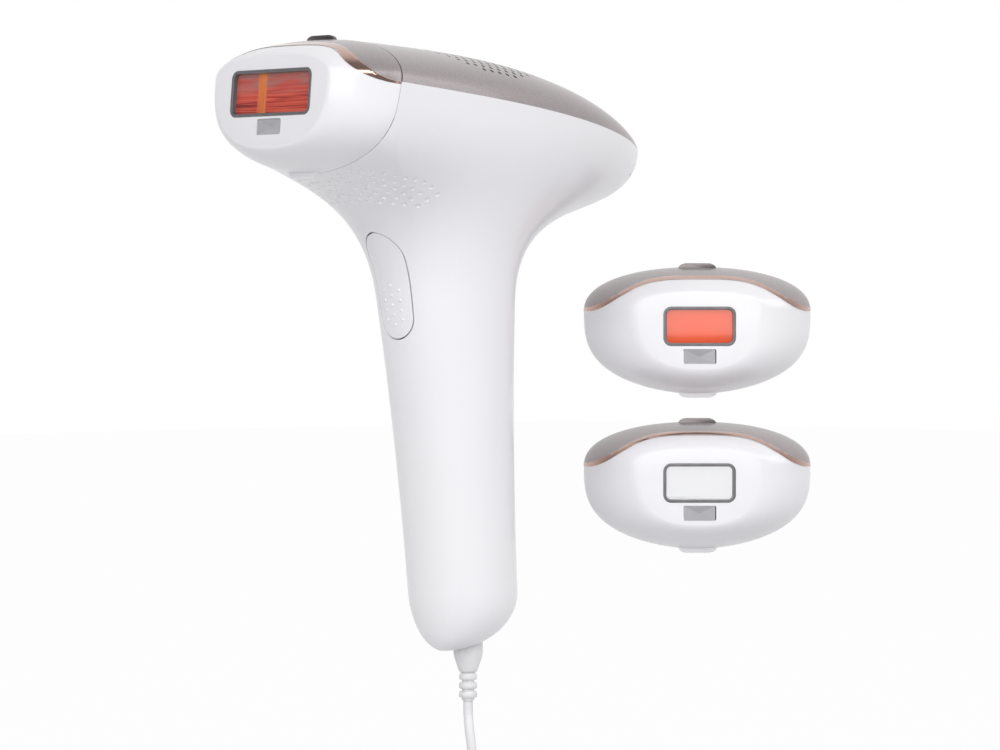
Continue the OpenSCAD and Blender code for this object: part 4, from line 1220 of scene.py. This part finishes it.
def make_world():
    """White to the camera; as light, a soft grey room whose wall behind the object is brighter."""
    world = bpy.data.worlds.new("studio")
    world.use_nodes = True
    scene.world = world
    bearing = add_node(world, "TexCoord", {}).outputs["Generated"]
    wall = add_node(world, "VectorMath", {0: bearing, 1: (-0.70, 0.70, 0.12)}, "DOT_PRODUCT")
    level = add_node(world, "MapRange", {"From Min": -0.1, "From Max": 0.9, "Value": wall.outputs["Value"]})
    level.interpolation_type = "SMOOTHSTEP"
    strength = add_node(world, "MapRange", {"To Min": 0.30, "To Max": 0.85, "Value": level.outputs["Result"]})
    room = world.node_tree.nodes["Background"]
    feed(world, room, {"Color": (0.985, 0.98, 1.0, 1), "Strength": strength.outputs["Result"]})
    white = add_node(world, "Background", {"Color": (1, 1, 1, 1), "Strength": 1.0})
    mix_shaders(world, white_seen(world, level.outputs["Result"]), room.outputs["Background"],
                white.outputs["Background"], "World Output")


def soft_box(name, azimuth, elevation, distance, width, height, brightness):
    """A rectangular lamp that faces the middle of the object; its brightness doesn't depend on its size."""
    data = bpy.data.lights.new(name, "AREA")
    data.shape = "RECTANGLE"
    data.size, data.size_y = width, height
    data.energy = brightness * width * height * pi
    bearing, rise = radians(azimuth), radians(elevation)
    away = Vector((cos(bearing) * cos(rise), sin(bearing) * cos(rise), sin(rise)))
    lamp = bpy.data.objects.new(name, data)
    lamp.location = Vector((0, 0, 0.05)) + distance * away
    lamp.rotation_euler = (-away).to_track_quat("-Z", "Y").to_euler()
    scene.collection.objects.link(lamp)


make_world()
make_floor()
soft_box("front", -57, 23, 2.3, 2.4, 2.0, 2.6)
soft_box("side", 32, 25, 2.3, 1.4, 1.4, 2.1)
soft_box("strip", -8, 36, 1.8, 0.8, 0.4, 3.0)

# ------------------------------ finishes of the imported parts

for material, node_names in (
        (WHITE, "body_shell flash_button adapter_case"),
        (PEARL, "top_cover power_button level_button"),
        (GLOSS, "control_panel"),
        (GUIDE, "level_lights"),
        (STEEL, "button_pin button_spring chassis_screws"),
        (NICKEL, "adapter_pins"),
        (GOLD, "contact_pads"),
        (MIRROR, "reflector"),
        (CLEAR, "lamp_window"),
        (QUARTZ, "flash_lamp"),
        (CERAMIC, "lamp_holders"),
        (COIL, "trigger_coil"),
        (DARK, "nose_plate button_bracket"),
        (BLACK, "microswitch skin_sensor fan_frame fan_rotor dc_socket"),
        (GREY, "chassis"),
        (SLEEVE, "capacitor"),
        (GREEN, "main_board control_board"),
        (RUBBER, "power_plug cord cord_hank cord_end"),
        (CLOTH_TIE, "hank_tie")):
    for node_name in node_names.split():
        finish_with(NODES[node_name], material)
for set_name, glass in (("fitted", AMBER_PAINTED_REFLECTION), ("amber", AMBER), ("clear", CLEAR)):
    for label, material in (("shell", WHITE), ("hood", PEARL), ("trim", COPPER), ("frame", FRAME),
                            ("filter", glass), ("tunnel", STREAKED), ("sensor_window", SENSOR),
                            ("coupling", DARK)):
        finish_with(NODES[set_name + "_" + label], material)
